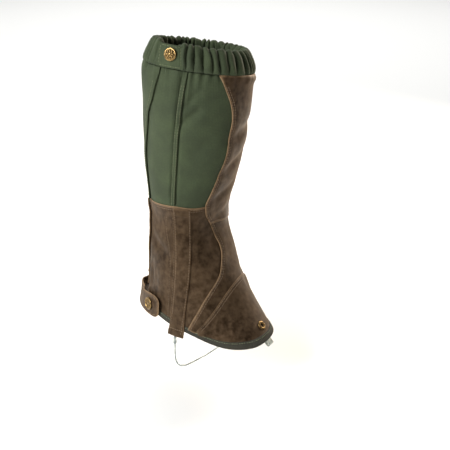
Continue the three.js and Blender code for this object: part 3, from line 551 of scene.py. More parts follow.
def nubuck(name, dark, middle, light, edge):
    """Hide on object coordinates: cloudy wax, fine grain, and pale edges from the wear value, partly worn wax
    and partly a painted highlight.
    """
    material, tree, shader = new_material(name, Specular_IOR_Level=0.25, Specular_Tint=linear("#d9b48c"),
                                          Sheen_Weight=0.16, Sheen_Roughness=0.4, Sheen_Tint=linear("#cfa878"))
    where = add_node(tree, "TexCoord").outputs["Object"]
    clouds = steps(tree, blotches(tree, where, 42, 3, 5), 0.34, 0.66)
    scuffs = steps(tree, blotches(tree, where, 7, 4, 6), 0.35, 0.7)
    colour = blend_colour(tree, clouds, dark, middle)
    colour = blend_colour(tree, times(tree, scuffs, 0.55), colour, light)
    wear = add_node(tree, "Attribute", attribute_name="wear").outputs["Fac"]
    # Pale tan at the edges: partly worn wax, partly a painted highlight where the rounded edges catch the
    # light.
    edge_wear_and_highlight = times(tree, wear, steps(tree, blotches(tree, where, 5, 5), 0.1, 0.5))
    tree.links.new(blend_colour(tree, edge_wear_and_highlight, colour, edge), shader.inputs["Base Color"])
    rough = add_node(tree, "MapRange", {"Value": clouds, "To Min": 0.48, "To Max": 0.66}).outputs[0]
    tree.links.new(rough, shader.inputs["Roughness"])
    cells = add_node(tree, "TexVoronoi", {"Vector": where, "Scale": 1 / (GRAIN * MM)}).outputs["Distance"]
    pores = blotches(tree, where, 1.6, 6, 3)
    height = add_node(tree, "Math", {0: cells, 1: pores}, operation="ADD").outputs[0]
    emboss(tree, shader, height, 0.22, 0.25)
    return material


# The grain is 0.9 mm, about that of pebbled cowhide.
leather = nubuck("waxed_nubuck", "#1c130b", "#33271b", "#584838", "#8b7257")
print(leather.name)

# %% [markdown]
# Antique brass: plated, tumbled in a dark bath, then polished, so that it stays dark in its hollows
# and bright on its crests. Plain steel has grey stains. Polyester thread is fibres in two shades, and
# acetal, the plastic of moulded zip teeth, is smooth and nearly black.


# %% Metals, thread and plastic
def metal(name, dark, bright, rough, size):
    """A metal with stained patches of a size in mm, which are rougher than the rest."""
    material, tree, shader = new_material(name, Metallic=1.0, Roughness=rough)
    where = add_node(tree, "TexCoord").outputs["Object"]
    stain = steps(tree, blotches(tree, where, size, 7, 3), 0.3, 0.62)
    tree.links.new(blend_colour(tree, stain, dark, bright), shader.inputs["Base Color"])
    spread = add_node(tree, "MapRange", {"Value": stain, "To Min": rough + 0.15, "To Max": rough}).outputs[0]
    tree.links.new(spread, shader.inputs["Roughness"])
    return material


brass = metal("antique_brass", "#3a2c17", "#7c6540", 0.38, 2.5)
steel = metal("plain_steel", "#7f8988", "#b4bcb9", 0.32, 4)


def ornament(name):
    """Brass whose hollows keep the dark bath: the wear value is 1 on crests and 0 in hollows."""
    material, tree, shader = new_material(name, Metallic=1.0, Roughness=0.3)
    crest = steps(tree, add_node(tree, "Attribute", attribute_name="wear").outputs["Fac"], 0.25, 0.75)
    tree.links.new(blend_colour(tree, crest, "#2a1f10", "#8a7148"), shader.inputs["Base Color"])
    tree.links.new(add_node(tree, "MapRange", {"Value": crest, "To Min": 0.55, "To Max": 0.26}).outputs[0],
                   shader.inputs["Roughness"])
    return material


relieved_brass = ornament("relieved_antique_brass")


def mottled(name, rough, dark, light, size, seed, detail=4.0, ends=(0, 1)):
    """Two shades by noise of a size in mm on object coordinates."""
    material, tree, shader = new_material(name, Roughness=rough)
    noise = blotches(tree, add_node(tree, "TexCoord").outputs["Object"], size, seed, detail)
    tree.links.new(blend_colour(tree, steps(tree, noise, *ends), dark, light), shader.inputs["Base Color"])
    return material


green_thread = mottled("polyester_thread_green", 0.7, "#434a32", "#6b7152", 1.0, 8, 2, (0.35, 0.65))
brown_thread = mottled("polyester_thread_brown", 0.7, "#4a3b2b", "#766149", 1.0, 8, 2, (0.35, 0.65))
resin = mottled("acetal_teeth", 0.4, "#22221f", "#33332f", 3, 9)
FABRIC = (polyester, "fabric")
LEATHER = (leather, "leather")
BROWN_STITCH = (brown_thread, "leather")
GREEN_STITCH = (green_thread, "fabric")
print("metals and threads",
      [m.name for m in (brass, relieved_brass, steel, green_thread, brown_thread, resin)])

# %% [markdown]
# ## The wire under the sole
# A steel cable hangs from a ferrule on each side and passes under the boot's sole in front of its
# heel. It is stiff, so it keeps a flat-bottomed U. The points are its real route.

# %% Wire
ferrule_at = {}
for side in ("outer", "inner"):
    low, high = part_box("wire_ferrule_" + side)
    ferrule_at[side] = np.array([(low.x + high.x) / 2, (low.y + high.y) / 2, low.z]) / MM
wire_y = ferrule_at["outer"][1]
half_route = [(61.5, -22), (60.5, -31), (57, -39), (50, -45), (40, -48.5), (26, -50), (12, -50.7)]
route = [ferrule_at["outer"], ferrule_at["outer"] - (0, 0, 4)]
route += [np.array([-x, wire_y, z]) for x, z in half_route] + [np.array([0, wire_y, -51])]
route += [np.array([x, wire_y, z]) for x, z in reversed(half_route)]
route += [ferrule_at["inner"] - (0, 0, 4), ferrule_at["inner"]]
route = np.array(route)
run = np.concatenate([[0], np.cumsum(np.linalg.norm(np.diff(route, axis=0), axis=1))])
spots = np.linspace(0, run[-1], 160)
line = np.stack([curve(list(zip(run, route[:, k])))(spots) for k in range(3)], -1)
WIRE_RADIUS = 1.0
wire_curve = bpy.data.curves.new("stirrup_cable", "CURVE")
wire_curve.dimensions = "3D"
spline = wire_curve.splines.new("POLY")
spline.points.add(len(line) - 1)
spline.points.foreach_set("co", np.concatenate([line * MM, np.ones((len(line), 1))], 1).ravel())
wire_curve.bevel_depth = WIRE_RADIUS * MM
wire_curve.bevel_resolution = 3
wire_curve.use_fill_caps = True
wire_curve.materials.append(steel)
wire = bpy.data.objects.new("stirrup_cable", wire_curve)
bpy.context.scene.collection.objects.link(wire)
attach(wire, "stirrup")
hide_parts("stirrup_wire")

# %% [markdown]
# ## Levels
# Where two panels meet, one laps over the other and is stitched down. Going up from the leg: the
# cloth, the lower leather over its edge, and the long shin panel over both. A level is the height of
# a panel's outer face, and it rises by one lap near an edge that lies on a neighbour.

# %% Levels
CLOTH, HIDE, LAP = 1.2, 1.3, 1.4


def beside(angle, z, seam):
    """Millimetres from a seam up the leg, positive at larger angles."""
    return (angle - seam(z)) / degrees(limb, angle, z, 1)


def lapped(distance):
    """1 beside an edge, falling to 0 over 14 mm."""
    return 1 - smooth(distance, 6, 20)


def cloth_level(angle, z):
    """The cloth, drawn down a little on each side of the felled seam."""
    away = np.abs(beside(angle, z, fell))
    above = smooth(z - leather_top(angle), 0, 4)
    return relief(angle, z) - 2.3 * above * np.exp(-((away - 3.4) / 1.5) ** 2)


def lower_level(angle, z):
    """The lower leather laps over the cloth at its top."""
    return relief(angle, z) + LAP * lapped(leather_top(angle) - z)


def panel_level(angle, z):
    """The shin and instep panels lap over what is beside them, and over two layers at the leather's top."""
    outer = lapped(beside(angle, z, shin_outer))
    inner = lapped(-beside(angle, z, shin_inner))
    crossing = np.exp(-((z - leather_top(angle) + 3) / 9) ** 2)
    return relief(angle, z) + LAP * np.maximum(outer, inner) * (1 + crossing)


def shin_level(angle, z):
    """The shin panel also laps over the instep at its foot."""
    return panel_level(angle, z) + LAP * lapped(z - ankle_seam(angle)) * 0.95


def vamp_level(angle, z):
    """The vamp laps over the instep along its arch, and over the seams at its ends."""
    return panel_level(angle, z) + LAP * lapped(vamp_seam(angle) - z)


print("lap", LAP, "mm")

# %% [markdown]
# ## Panels
# Each panel is cut between its seams. Edges that lie under a neighbour run on 5 mm beneath it, as a
# seam allowance does, and edges on top end on the seam.

# %% Panels
UNDER = -5
SEAM_DRAW = 0.4
cloth_panels = [
    ("outer_front_cloth", fell, shin_outer, (0.4, UNDER, UNDER, SEAM_DRAW), (70, 170), "outer_side_front"),
    ("outer_rear_cloth", always(ZIP_FRONT), fell, (0, 0.4, UNDER, SEAM_DRAW), (80, 170), "outer_side_rear"),
    ("inner_side_cloth", shin_inner, always(BACK_SEAM), (UNDER, UNDER, UNDER, SEAM_DRAW), (75, 170),
     "inner_side"),
]
leather_panels = [
    ("lower_outer_leather", always(ZIP_FRONT), shin_outer, (0, UNDER, -3, 0), (120, 150),
     "outer_lower_leather"),
    ("lower_inner_leather", shin_inner, always(BACK_SEAM), (UNDER, UNDER, -3, 0), (60, 145),
     "inner_lower_leather"),
]
sheets = []
for name, left, right, insets, size, node in cloth_panels:
    base = four_sided(left, right, leather_top, cuff_seam, insets)
    sheets.append(shell(name, base, size, cloth_level, CLOTH, FABRIC, [node]))
for name, left, right, insets, size, node in leather_panels:
    base = four_sided(left, right, hem_top, leather_top, insets)
    shell(name, base, size, lower_level, HIDE, LEATHER, [node])


def back_lap(level):
    """The back pieces lap over the inner side's at the back seam."""
    return lambda angle, z: level(angle, z) + LAP * lapped((angle - BACK_SEAM) / degrees(limb, angle, z, 1))


base = four_sided(always(BACK_SEAM), always(ZIP_REAR), leather_top, cuff_seam, (0, 0, UNDER, SEAM_DRAW))
sheets.append(shell("back_cloth", base, (70, 175), back_lap(cloth_level), CLOTH, FABRIC, ["back_fabric"]))
base = four_sided(always(BACK_SEAM), always(ZIP_REAR), hem_top, leather_top, (0, 0, -3, 0))
shell("heel_hide", base, (75, 135), back_lap(lower_level), HIDE, LEATHER, ["heel_leather"])
base = four_sided(shin_outer, shin_inner, ankle_seam, cuff_seam)
shell("shin_hide", base, (120, 195), shin_level, HIDE, LEATHER, ["shin_leather"])
base = four_sided(always(VAMP_OUTER), always(VAMP_INNER), hem_top, vamp_seam, (0, 0, -3, 0))
shell("vamp_hide", base, (190, 55), vamp_level, HIDE, LEATHER, ["vamp_leather"], cell=1.8, edge_wear_and_highlight_share=0.4)

# %% [markdown]
# The instep panel runs from the ankle down both sides of the vamp. It is cut as one front piece, and
# what lies more than a seam allowance under the vamp is cut away.

# %% Instep
def outside_vamp(angle, z):
    """True where the instep is kept: above the vamp's seam, less its allowance."""
    return z > vamp_seam(angle) - 9


base = four_sided(shin_outer, shin_inner, hem_top, ankle_seam, (0, 0, -3, UNDER))
shell("instep_hide", base, (150, 130), panel_level, HIDE, LEATHER, ["instep_leather"], cell=1.8,
      keep=outside_vamp)

# %% [markdown]
# ## The felled seam
# The outer side is cut in two and joined by a felled seam: both edges are folded into each other and
# stitched down twice. It stands up like a cord, with a groove on each side.

# %% Felled seam
FELL_WIDTH = 5.2


def moved(seam, by, surface=sleeve):
    """A seam up the leg, moved round it by millimetres."""
    return lambda z: seam(z) + by * degrees(surface, seam(z), z, 1)


def fell_level(angle, z):
    """A flat crown that falls off to its stitched sides: a power of the distance from its middle."""
    across = np.abs(beside(angle, z, fell)) / (FELL_WIDTH / 2)
    return relief(angle, z) + 1.0 - 0.5 * np.clip(across, 0, 1) ** 3


base = four_sided(moved(fell, -FELL_WIDTH / 2), moved(fell, FELL_WIDTH / 2), leather_top, cuff_seam,
                  (0, 0, 0.4, SEAM_DRAW))
shell("felled_ridge", base, (FELL_WIDTH, 165), fell_level, 1.4, FABRIC, ["felled_seam"], cell=1.0)

# %% [markdown]
# ## The hem's binding
# A woven tape is folded over the raw lower edges and stitched through. Its ribs run across it, and
# it is geometry here, because the ribs catch the light along the whole hem.

# %% Hem binding
RIB = 2.4
TAPE_HEIGHT = 9
hem_angles = np.linspace(ZIP_FRONT, ZIP_REAR, 800)
hem_steps = np.linalg.norm(np.diff(sleeve(hem_angles, hem_top(hem_angles)), axis=0), axis=1)
hem_run = np.concatenate([[0], np.cumsum(hem_steps)])


def binding_low(angle):
    """The tape's lower edge: 9 mm under its upper one, and 2.5 mm less at the toe."""
    return hem_top(angle) - TAPE_HEIGHT + 2.5 * np.exp(-((angle - 8) / 32) ** 2)


def binding_level(angle, z):
    """Ribs are the cosine of the length along the hem, and the tape swells a little between its edges."""
    ribs = 0.22 * np.cos(2 * np.pi * np.interp(angle, hem_angles, hem_run) / RIB)
    swell = 0.5 * np.sin(np.pi * np.clip((hem_top(angle) - z) / TAPE_HEIGHT, 0, 1))
    return relief(angle, z) + 0.35 + ribs + swell


base = four_sided(always(ZIP_FRONT + 1), always(ZIP_REAR - 1), binding_low, hem_top, (0, 0, 0, -0.3))
shell("hem_tape", base, (hem_run[-1], TAPE_HEIGHT), binding_level, 2.6, (tape_cloth, "binding"),
      ["hem_binding"], cell=0.8)

# %% [markdown]
# ## Strips for the wire
# A strip of leather runs down each side to the wire. Its lower end is folded under to make a tunnel.
# Near its top is a blank pressed panel with soft edges.

# %% Wire strips
STRIP_WIDTH = 20
STRIP_LOW = 3
PRESSED_HALF, PRESSED_HEIGHT = 7.4, 26


def strip_level(centre):
    """The lower leather's level plus the strip, over the binding, with a thick end and a pressed panel."""

    def level(angle, z):
        over_hem = 0.7 * (1 - smooth(z - hem_top(angle), 2, 9))
        end = 0.9 * (1 - smooth(z, 10, 13))
        across = np.abs(beside(angle, z, centre))
        up = np.abs(leather_top(angle) - 12 - PRESSED_HEIGHT / 2 - z)
        inside = (1 - smooth(across, PRESSED_HALF - 0.6, PRESSED_HALF + 0.6))
        inside = inside * (1 - smooth(up, PRESSED_HEIGHT / 2 - 0.6, PRESSED_HEIGHT / 2 + 0.6))
        crown = 0.35 * (1 - (across / (STRIP_WIDTH / 2)) ** 2)
        return lower_level(angle, z) + 1.6 + over_hem + end + crown - 0.9 * inside

    return level


def thick_end(angle, z):
    """The strip is double where it is folded under."""
    return HIDE + 1.2 * (1 - smooth(z, 10, 13))


def strip_side(centre, side):
    """An edge of the strip: half its width from its middle, and 2.5 mm more at its foot."""
    return lambda z: centre(z) + side * degrees(
        sleeve, centre(z), z, STRIP_WIDTH / 2 + 2.5 * (1 - smooth(z, 6, 40)))


for side, centre in (("outer", outer_strip), ("inner", inner_strip)):
    base = four_sided(strip_side(centre, -1), strip_side(centre, 1), always(STRIP_LOW), leather_top,
                      (0, 0, 0, 1))
    shell(f"{side}_strip", base, (STRIP_WIDTH, 165), strip_level(centre), thick_end, LEATHER,
          [f"{side}_wire_strip"], cell=1.1, edge_wear_and_highlight_share=0.35)

# %% [markdown]
# ## The gathered cuff
# The cuff is a strip of the same cloth, cut half as long again as the calf, folded double and sewn
# to the sleeve with elastic inside. The elastic draws it up into pleats.

# %% Cuff
FOLD = 2.2


def lean_in(angle, rise):
    """The elastic draws the cuff in by up to 4 mm, but not under the tab, which its snap holds out."""
    return 4.0 * smooth(rise, -0.1, 0.7) * smooth(np.abs(angle + 75), 14, 32)


def cuff_cloth(name, first, last, body, nodes):
    """A profile up the outside, over the rim and down the inside, carried round the leg.
    The outside stands out by the pleats, the inside stands in by others, and the rim rises on crests."""
    up = np.linspace(0, 1, 15)
    bend = np.radians(np.linspace(0, 180, 9))
    rise = np.concatenate([up, np.ones(7), up[::-1]])
    bend = np.concatenate([0 * up, bend[1:-1], np.full(15, np.pi)])
    angle, rise = np.meshgrid(np.linspace(first, last, round((last - first) * 1.5)), rise)
    bend = np.broadcast_to(bend[:, None], angle.shape)
    crest = pleats(angle, cuff_seam(angle) + rise * CUFF_HEIGHT)
    within = pleats(angle + 5, cuff_seam(angle) + rise * CUFF_HEIGHT)
    crest = crest * smooth(angle, first, first + 5) * smooth(-angle, -last, 5 - last)
    puff = np.sin(np.pi * rise) ** 0.7
    outer = -0.9 - lean_in(angle, rise) + crest * (1.2 + 1.0 * rise + 3.0 * puff)
    inner = -4.6 - lean_in(angle, rise) - within * (1.2 + 1.0 * rise + 2.4 * puff)
    near = np.cos(np.radians(angle + 49))
    high = CUFF_HEIGHT - 0.6 + 1.2 * near + 3.0 * (crest - 0.6)
    offset = mix(inner, outer, (1 + np.cos(bend)) / 2)
    height = 0.3 + rise * (high - FOLD) + FOLD * np.sin(bend)
    z = cuff_seam(angle) + height
    lean = 1.1 * waves(arc(angle), 0.4 * height, 12, 21) * rise / MEAN_RADIUS
    points = limb(angle + np.degrees(lean), z) + normal_of(limb, angle, z) * offset[..., None]
    long = np.linalg.norm(np.diff(points, axis=0), axis=-1)
    run = np.concatenate([[0], np.cumsum(np.median(long, axis=1))])
    uv = np.stack([arc(angle) * 1.3, np.broadcast_to(run[:, None], angle.shape)], -1).reshape(-1, 2)
    piece = build(name, points.reshape(-1, 3), quads_of(*angle.shape), FABRIC, nodes, body, uv)
    solid = piece.modifiers.new("cloth", "SOLIDIFY")
    solid.thickness = 0.7 * MM
    solid.offset = 0


FLAP_FOLD = ("sleeve", "flap", np.array([-2, 71.7, 198]), np.array([-13, 71.7, 198]))
cuff_cloth("gathered_cuff", -66, 183, "sleeve", ["cuff_casing"])
cuff_cloth("gathered_flap_cuff", -176.7, -92, FLAP_FOLD, ["flap_cuff_casing"])


def ribbed(angle, z):
    """Elastic ribs: a cosine of the length round the leg, inside the cuff and leaning with it."""
    lean = lean_in(angle, (z - cuff_seam(angle)) / CUFF_HEIGHT)
    return -2.2 - lean + 0.12 * np.cos(2 * np.pi * arc(angle) / 1.6)


for name, first, last, body, node in (("cuff_band", -58.5, 182.5, "sleeve", "cuff_elastic"),
                                      ("flap_cuff_band", -168.5, -92.5, "flap", "flap_cuff_elastic")):
    base = four_sided(always(first), always(last), cuff_seam, cuff_seam, (0, 0, 3, -23), limb)
    shell(name, base, (arc(last - first), 20), ribbed, 1.0, (elastic_cloth, "elastic"), [node], body,
          cell=1.2)

# %% [markdown]
# ## Flap
# The zip would let water in, so a flap covers it. It is sewn down behind the zip, folds there, and
# its free edge is turned under and stitched.

# %% Flap
FLAP_LIFT = 0.8
FLAP_LOW = 51
FLAP_START = -183


def closed_flap(angle, z):
    """The flap's surface: the limb, drawn three quarters of the way to the sunk sleeve behind the ankle."""
    share = 0.75 * (1 - smooth(z, 120, 300)) * smooth(z, 30, 60) * smooth(angle, -178, -164)
    return mix(limb(angle, z), sleeve(angle, z), share[..., None])


def turned_under(angle, z):
    """1 along the flap's free edge, where it is double."""
    return 1 - smooth((flap_edge(z) - angle) / degrees(limb, angle, z, 1), 4.5, 6.5)


def over_zip(level, thick):
    """A level lifted over the zip by the flap's own thickness, and more along its doubled edge."""
    return lambda angle, z: level(angle, z) + FLAP_LIFT + thick + 0.5 * turned_under(angle, z)


def doubled(thick):
    """A thickness that grows along the turned edge."""
    return lambda angle, z: thick + 0.6 * turned_under(angle, z)


flap_cloth_level = over_zip(relief, 1.4)
flap_hide_level = over_zip(lower_level, 1.6)
base = four_sided(always(FLAP_START), flap_edge, leather_top, cuff_seam, (0, 0, UNDER, SEAM_DRAW),
                  closed_flap)
sheets.append(shell("flap_cloth", base, (80, 175), flap_cloth_level, doubled(CLOTH), FABRIC,
                    ["flap_fabric", "flap_margin_fabric"], FLAP_FOLD))
base = four_sided(always(FLAP_START), flap_edge, always(FLAP_LOW), leather_top, (0, 0, 0, 0), closed_flap)
shell("flap_hide", base, (65, 115), flap_hide_level, doubled(HIDE), LEATHER,
      ["flap_leather", "flap_margin_leather"], FLAP_FOLD, edge_wear_and_highlight_share=0.4)

# %% [markdown]
# ## Tabs
# A cloth tab snaps over the cuff's opening and a leather one over the foot of the zip. Both are held
# flat by a snap, and each is sewn along one edge, where it folds.

# %% Tabs
TAB_FOLD = ("flap", "cuff_snap_tab", np.array([-68, 2, 358.7]), np.array([-68, -3, 358.7]))
CUFF_TAB_LEVEL = 2.2
CUFF_TAB_SIDES = (-88.8, -63.7)
CUFF_TAB_ROWS = (2.6, 24.4)


def tab_level(angle, z):
    """Flat where the snap holds it, and pressed down 0.7 mm along its stitches, a bell across them."""
    up = z - cuff_seam(angle)
    sides = [np.abs(arc(angle) - arc(side)) for side in CUFF_TAB_SIDES]
    rows = [np.abs(up - row) for row in CUFF_TAB_ROWS]
    loose = 0.25 * waves(arc(angle), z, 14, 31) * smooth(np.abs(angle + 74.5), 6, 11)
    return CUFF_TAB_LEVEL + loose - 0.7 * np.exp(-np.minimum.reduce(sides + rows) ** 2)


base = four_sided(always(-91.5), always(-61.5), cuff_seam, cuff_seam, (0, 0, 0.6, -26.4), limb)
shell("cuff_tab_cloth", base, (36, 26), tab_level, 1.6, FABRIC, ["cuff_tab"], TAB_FOLD, cell=1.2)
base = four_sided(always(-91), always(-59.5), cuff_seam, cuff_seam, (0, 0, 1, -26), limb)
shell("cuff_underlap_cloth", base, (36, 25), lambda a, z: -3.1 + 0 * a, 1.3, FABRIC,
      ["cuff_underlap"], cell=1.6)

TAB_LOW, TAB_TOP = 18, 48
TAB_MIDDLE, TAB_HALF = 33, 15


def tab_end(z):
    """The tab's rounded end: a flattened ellipse of the fourth power."""
    return -101 - 9 * (1 - np.sqrt(np.maximum(0, 1 - ((z - TAB_MIDDLE) / TAB_HALF) ** 4)))


def ankle_tab_level(angle, z):
    """Low where it is sewn to the heel, and up on the snap beyond its fold."""
    return 1.8 + mix(0.4, 3.9, smooth(angle, -168, -158))


def strap_way(angle, z):
    """The strap's surface: the limb, drawn toward the sunk sleeve between its fold and its snap."""
    share = 0.25 * smooth(angle, -158, -136) * (1 - smooth(angle, -140, -104))
    return mix(limb(angle, z), sleeve(angle, z), share[..., None])


def strap_top(angle):
    """The strap is narrower than its end: its upper edge drops by 3 mm behind the snap."""
    return TAB_TOP - 3 * smooth(-angle, 112, 130)

low, high = limb(np.array(-162.5), np.array(33.0)), limb(np.array(-156.5), np.array(33.0))
ANKLE_FOLD = ("sleeve", "ankle_snap_tab", low, high)

base = four_sided(always(-172), tab_end, always(TAB_LOW), strap_top, (0, 0, 0, 0), strap_way)
shell("ankle_tab_hide", base, (79, 30), ankle_tab_level, 1.8, LEATHER, ["ankle_tab", "ankle_tab_margin"],
      ANKLE_FOLD, cell=1.2)


# %% [markdown]
# ## Turned metal
# Snap caps are stamped from sheet brass with a pattern struck into them. Here a profile is turned
# round its axis, and the struck pattern is added to its height: beads round the rim and petals inside.

# %% Snaps and eyelet
def seat(surface, angle, z, offset):
    """The place of a piece on the leg, and its axes: round the leg, up it and out."""
    angle, z = np.array(float(angle)), np.array(float(z))
    out = normal_of(surface, angle, z)
    around = unit(surface(angle + 0.5, z) - surface(angle - 0.5, z))
    return surface(angle, z) + out * offset, np.stack([around, np.cross(out, around), out])


CAP_SIDES = 96

def turned(outline, count, sides):
    """A profile turned round its axis: radius, turn and height, from points of radius and height."""
    run = np.linspace(0, len(outline) - 1, count)
    radius, height = [np.interp(run, range(len(outline)), side) for side in np.array(outline, float).T]
    radius, turn = np.meshgrid(radius, np.linspace(0, 2 * np.pi, sides, endpoint=False), indexing="ij")
    return radius, turn, np.broadcast_to(height[:, None], radius.shape)

def struck(name, outline, petals, beads, at, body, node):
    """A turned cap. Height = the outline, plus petals near the middle and beads near the rim."""
    radius, turn, height = [side[:-1] for side in turned(outline, 44, CAP_SIDES)]
    rim = radius.max()
    upper = smooth(height, 0.9, 1.3)
    petal = 0.34 * np.cos(petals * turn) * np.exp(-((radius / rim - 0.5) / 0.16) ** 2)
    bead = (0.3 * np.abs(np.cos(beads * turn / 2 + 1.5 * radius))
            * np.exp(-((radius / rim - 0.88) / 0.07) ** 2))
    heart = 0.3 * np.exp(-((radius / rim) / 0.16) ** 2) - 0.25 * np.exp(-((radius / rim - 0.27) / 0.05) ** 2)
    crest = petal + bead + heart
    local = np.stack([radius * np.cos(turn), radius * np.sin(turn), height + upper * crest], -1)
    points = at[0] + local.reshape(-1, 3) @ at[1]
    faces = quads_of(*radius.shape, closed=True)[:, ::-1]
    top = list(range(radius.size - CAP_SIDES, radius.size))
    paint = {"wear": np.clip(0.62 + 1.5 * crest, 0, 1).ravel()}
    build(name, points, faces, (relieved_brass, "brass"), [node], body, paint=paint, sharp=50,
          caps=[list(range(CAP_SIDES))[::-1], top])


domed = [(0.6, 0.3), (7.0, 0.3), (7.7, 0.6), (7.8, 1.0), (7.6, 1.6), (7.1, 2.0), (6.3, 2.3), (5.5, 2.7),
         (4.2, 3.1), (3, 3.35), (1.6, 3.5), (0.8, 3.56), (0.02, 3.6)]
rimmed = [(0.6, 0.3), (7.4, 0.3), (8.2, 0.6), (8.4, 1.1), (8.1, 1.75), (7.4, 2.0), (6.7, 1.9), (6.0, 1.3),
          (4.8, 1.25), (3.2, 1.45), (1.8, 1.58), (0.9, 1.6), (0.02, 1.6)]
UPPER_SNAP, LOWER_SNAP = -74.5, -115.5
upper_seat = seat(limb, UPPER_SNAP, cuff_seam(UPPER_SNAP) + 0.55 * CUFF_HEIGHT, CUFF_TAB_LEVEL)
lower_seat = seat(limb, LOWER_SNAP, TAB_MIDDLE, 5.7)
struck("upper_cap", domed, 8, 24, upper_seat, "cuff_snap_tab", "upper_snap_cap")
struck("lower_cap", rimmed, 10, 28, lower_seat, "ankle_snap_tab", "lower_snap_cap")

EYELET_SIDES = 64
ring = [(2.6, -3.0), (3.0, -3.0), (3.0, 0.2), (4.6, 0.25), (5.8, 0.3), (6.1, 0.7), (5.9, 1.15), (5.2, 1.5),
        (4.2, 1.7), (3.2, 1.45), (2.6, 0.8)]
hook_seat = seat(sleeve, 4, hem_top(4) + 7, 0)
radius, turn, height = turned(ring + ring[:1], 66, EYELET_SIDES)
local = np.stack([radius * np.cos(turn), radius * np.sin(turn), height], -1).reshape(-1, 3)
faces = quads_of(*radius.shape, closed=True)[:, ::-1] % (local.shape[0] - EYELET_SIDES)
build("toe_eyelet", hook_seat[0] + local @ hook_seat[1], faces, (brass, "brass"), ["hook_eyelet"], sharp=40)


# %% [markdown]
# ## Zip
# Moulded teeth are repeated along two tapes. One tooth is made and copied by multiplying all the
# copies' axes with its points at once.

# %% Copies
def grain(length, width, height, square=0.45):
    """A small closed shape for copying: four stations along it, four corners each, and two ends."""
    t = np.array([-1, -0.55, 0.55, 1]) * length / 2
    size = np.array([square, 1, 1, square])
    corner = np.radians([0, 90, 180, 270])
    points = np.stack([np.repeat(t, 4), np.outer(size, np.cos(corner)).ravel() * width / 2,
                       np.outer(size, np.sin(corner)).ravel() * height / 2], -1)
    return points, np.concatenate([quads_of(4, 4, closed=True), [[0, 1, 2, 3]], [[15, 14, 13, 12]]])


def copies(name, shape, origins, axes, finish, nodes=(), body="sleeve"):
    """Copies of a shape: each point is an origin plus the shape's point times three axes."""
    points, faces = shape
    placed = origins[:, None] + np.einsum("pk,nkd->npd", points, axes)
    shift = len(points) * np.arange(len(origins))[:, None, None]
    build(name, placed.reshape(-1, 3), (faces[None] + shift).reshape(-1, 4), finish, nodes, body, sharp=50)


TOOTH_STEP = 3.0
CHAIN_MIDDLE = -2.6
zip_axes = np.stack([zip_across, zip_along, zip_out])
tooth = grain(2.4, 2.2, 2.4, 0.8)
for side, sign, shift in (("front", 1, 0), ("rear", -1, TOOTH_STEP / 2)):
    up = np.arange(10 + shift, zip_length - 5, TOOTH_STEP)
    local = np.stack([np.full_like(up, 2.1 * sign), up, np.full_like(up, CHAIN_MIDDLE)], -1)
    copies(f"zip_{side}_row", tooth, zip_bottom + local @ zip_axes, np.repeat(zip_axes[None], len(up), 0),
           (resin, "resin"), [f"zip_teeth_{side}"])

    def tape(u, v, sign=sign):
        """A flat strip in the zip's own plane."""
        across = sign * mix(3.4, 12.0, u if sign > 0 else 1 - u)
        local = np.stack([across, zip_length * v, 0 * u + CHAIN_MIDDLE], -1)
        return (zip_bottom + local @ zip_axes, zip_out + 0 * local, ZIP_ANGLE + across,
                ZIP_LOW + zip_length * v)

    shell(f"zip_{side}_tape", tape, (8.6, zip_length), lambda a, z: 0.3 + 0 * a, 0.6, (zip_cloth, "tape"),
          [f"zip_tape_{side}"], cell=1.6)


# %% [markdown]
# ## Stitches
# A seam is held by hundreds of stitches. Each is a short grain that dips into the cloth at its ends.
# A row follows a seam at a distance from it and takes its height from the panel that it is sewn to.

# %% Stitches
STITCH_STEP = 3.4
AFTER, BEFORE = (2, 4.6), (-2, -4.6)
stitch = grain(2.5, 0.85, 0.8)

def rows_up(seam, offsets, low, high, surface=sleeve):
    """Rows beside a seam up the leg, at offsets in millimetres."""
    z = np.linspace(low, high, 600)
    angle = seam(z)
    return [(angle + by * degrees(surface, angle, z, 1), z) for by in offsets]

def rows_round(seam, offsets, first, last):
    """Rows above or below a seam across the leg."""
    angle = np.linspace(first, last, 900)
    return [(angle, seam(angle) + by) for by in offsets]

def sew(name, rows, level, finish=BROWN_STITCH, body="sleeve", surface=sleeve):
    """Stitches on rows of places, evenly spaced by length: along the row, across it and out."""
    origins, axes = [], []
    for angle, z in rows:
        out = normal_of(surface, angle, z)
        line = surface(angle, z) + out * level(angle, z)[..., None]
        run = np.concatenate([[0], np.cumsum(np.linalg.norm(np.diff(line, axis=0), axis=1))])
        spots = np.arange(STITCH_STEP, run[-1] - 1, STITCH_STEP)
        at = np.stack([np.interp(spots, run, line[:, k]) for k in range(3)], -1)
        ahead = unit(np.stack([np.interp(spots + 0.5, run, line[:, k]) for k in range(3)], -1) - at)
        up = np.stack([np.interp(spots, run, out[:, k]) for k in range(3)], -1)
        side = unit(np.cross(up, ahead))
        origins.append(at + 0.08 * up)
        axes.append(np.stack([ahead, side, np.cross(ahead, side)], 1))
    copies(name, stitch, np.concatenate(origins), np.concatenate(axes), finish, (), body)

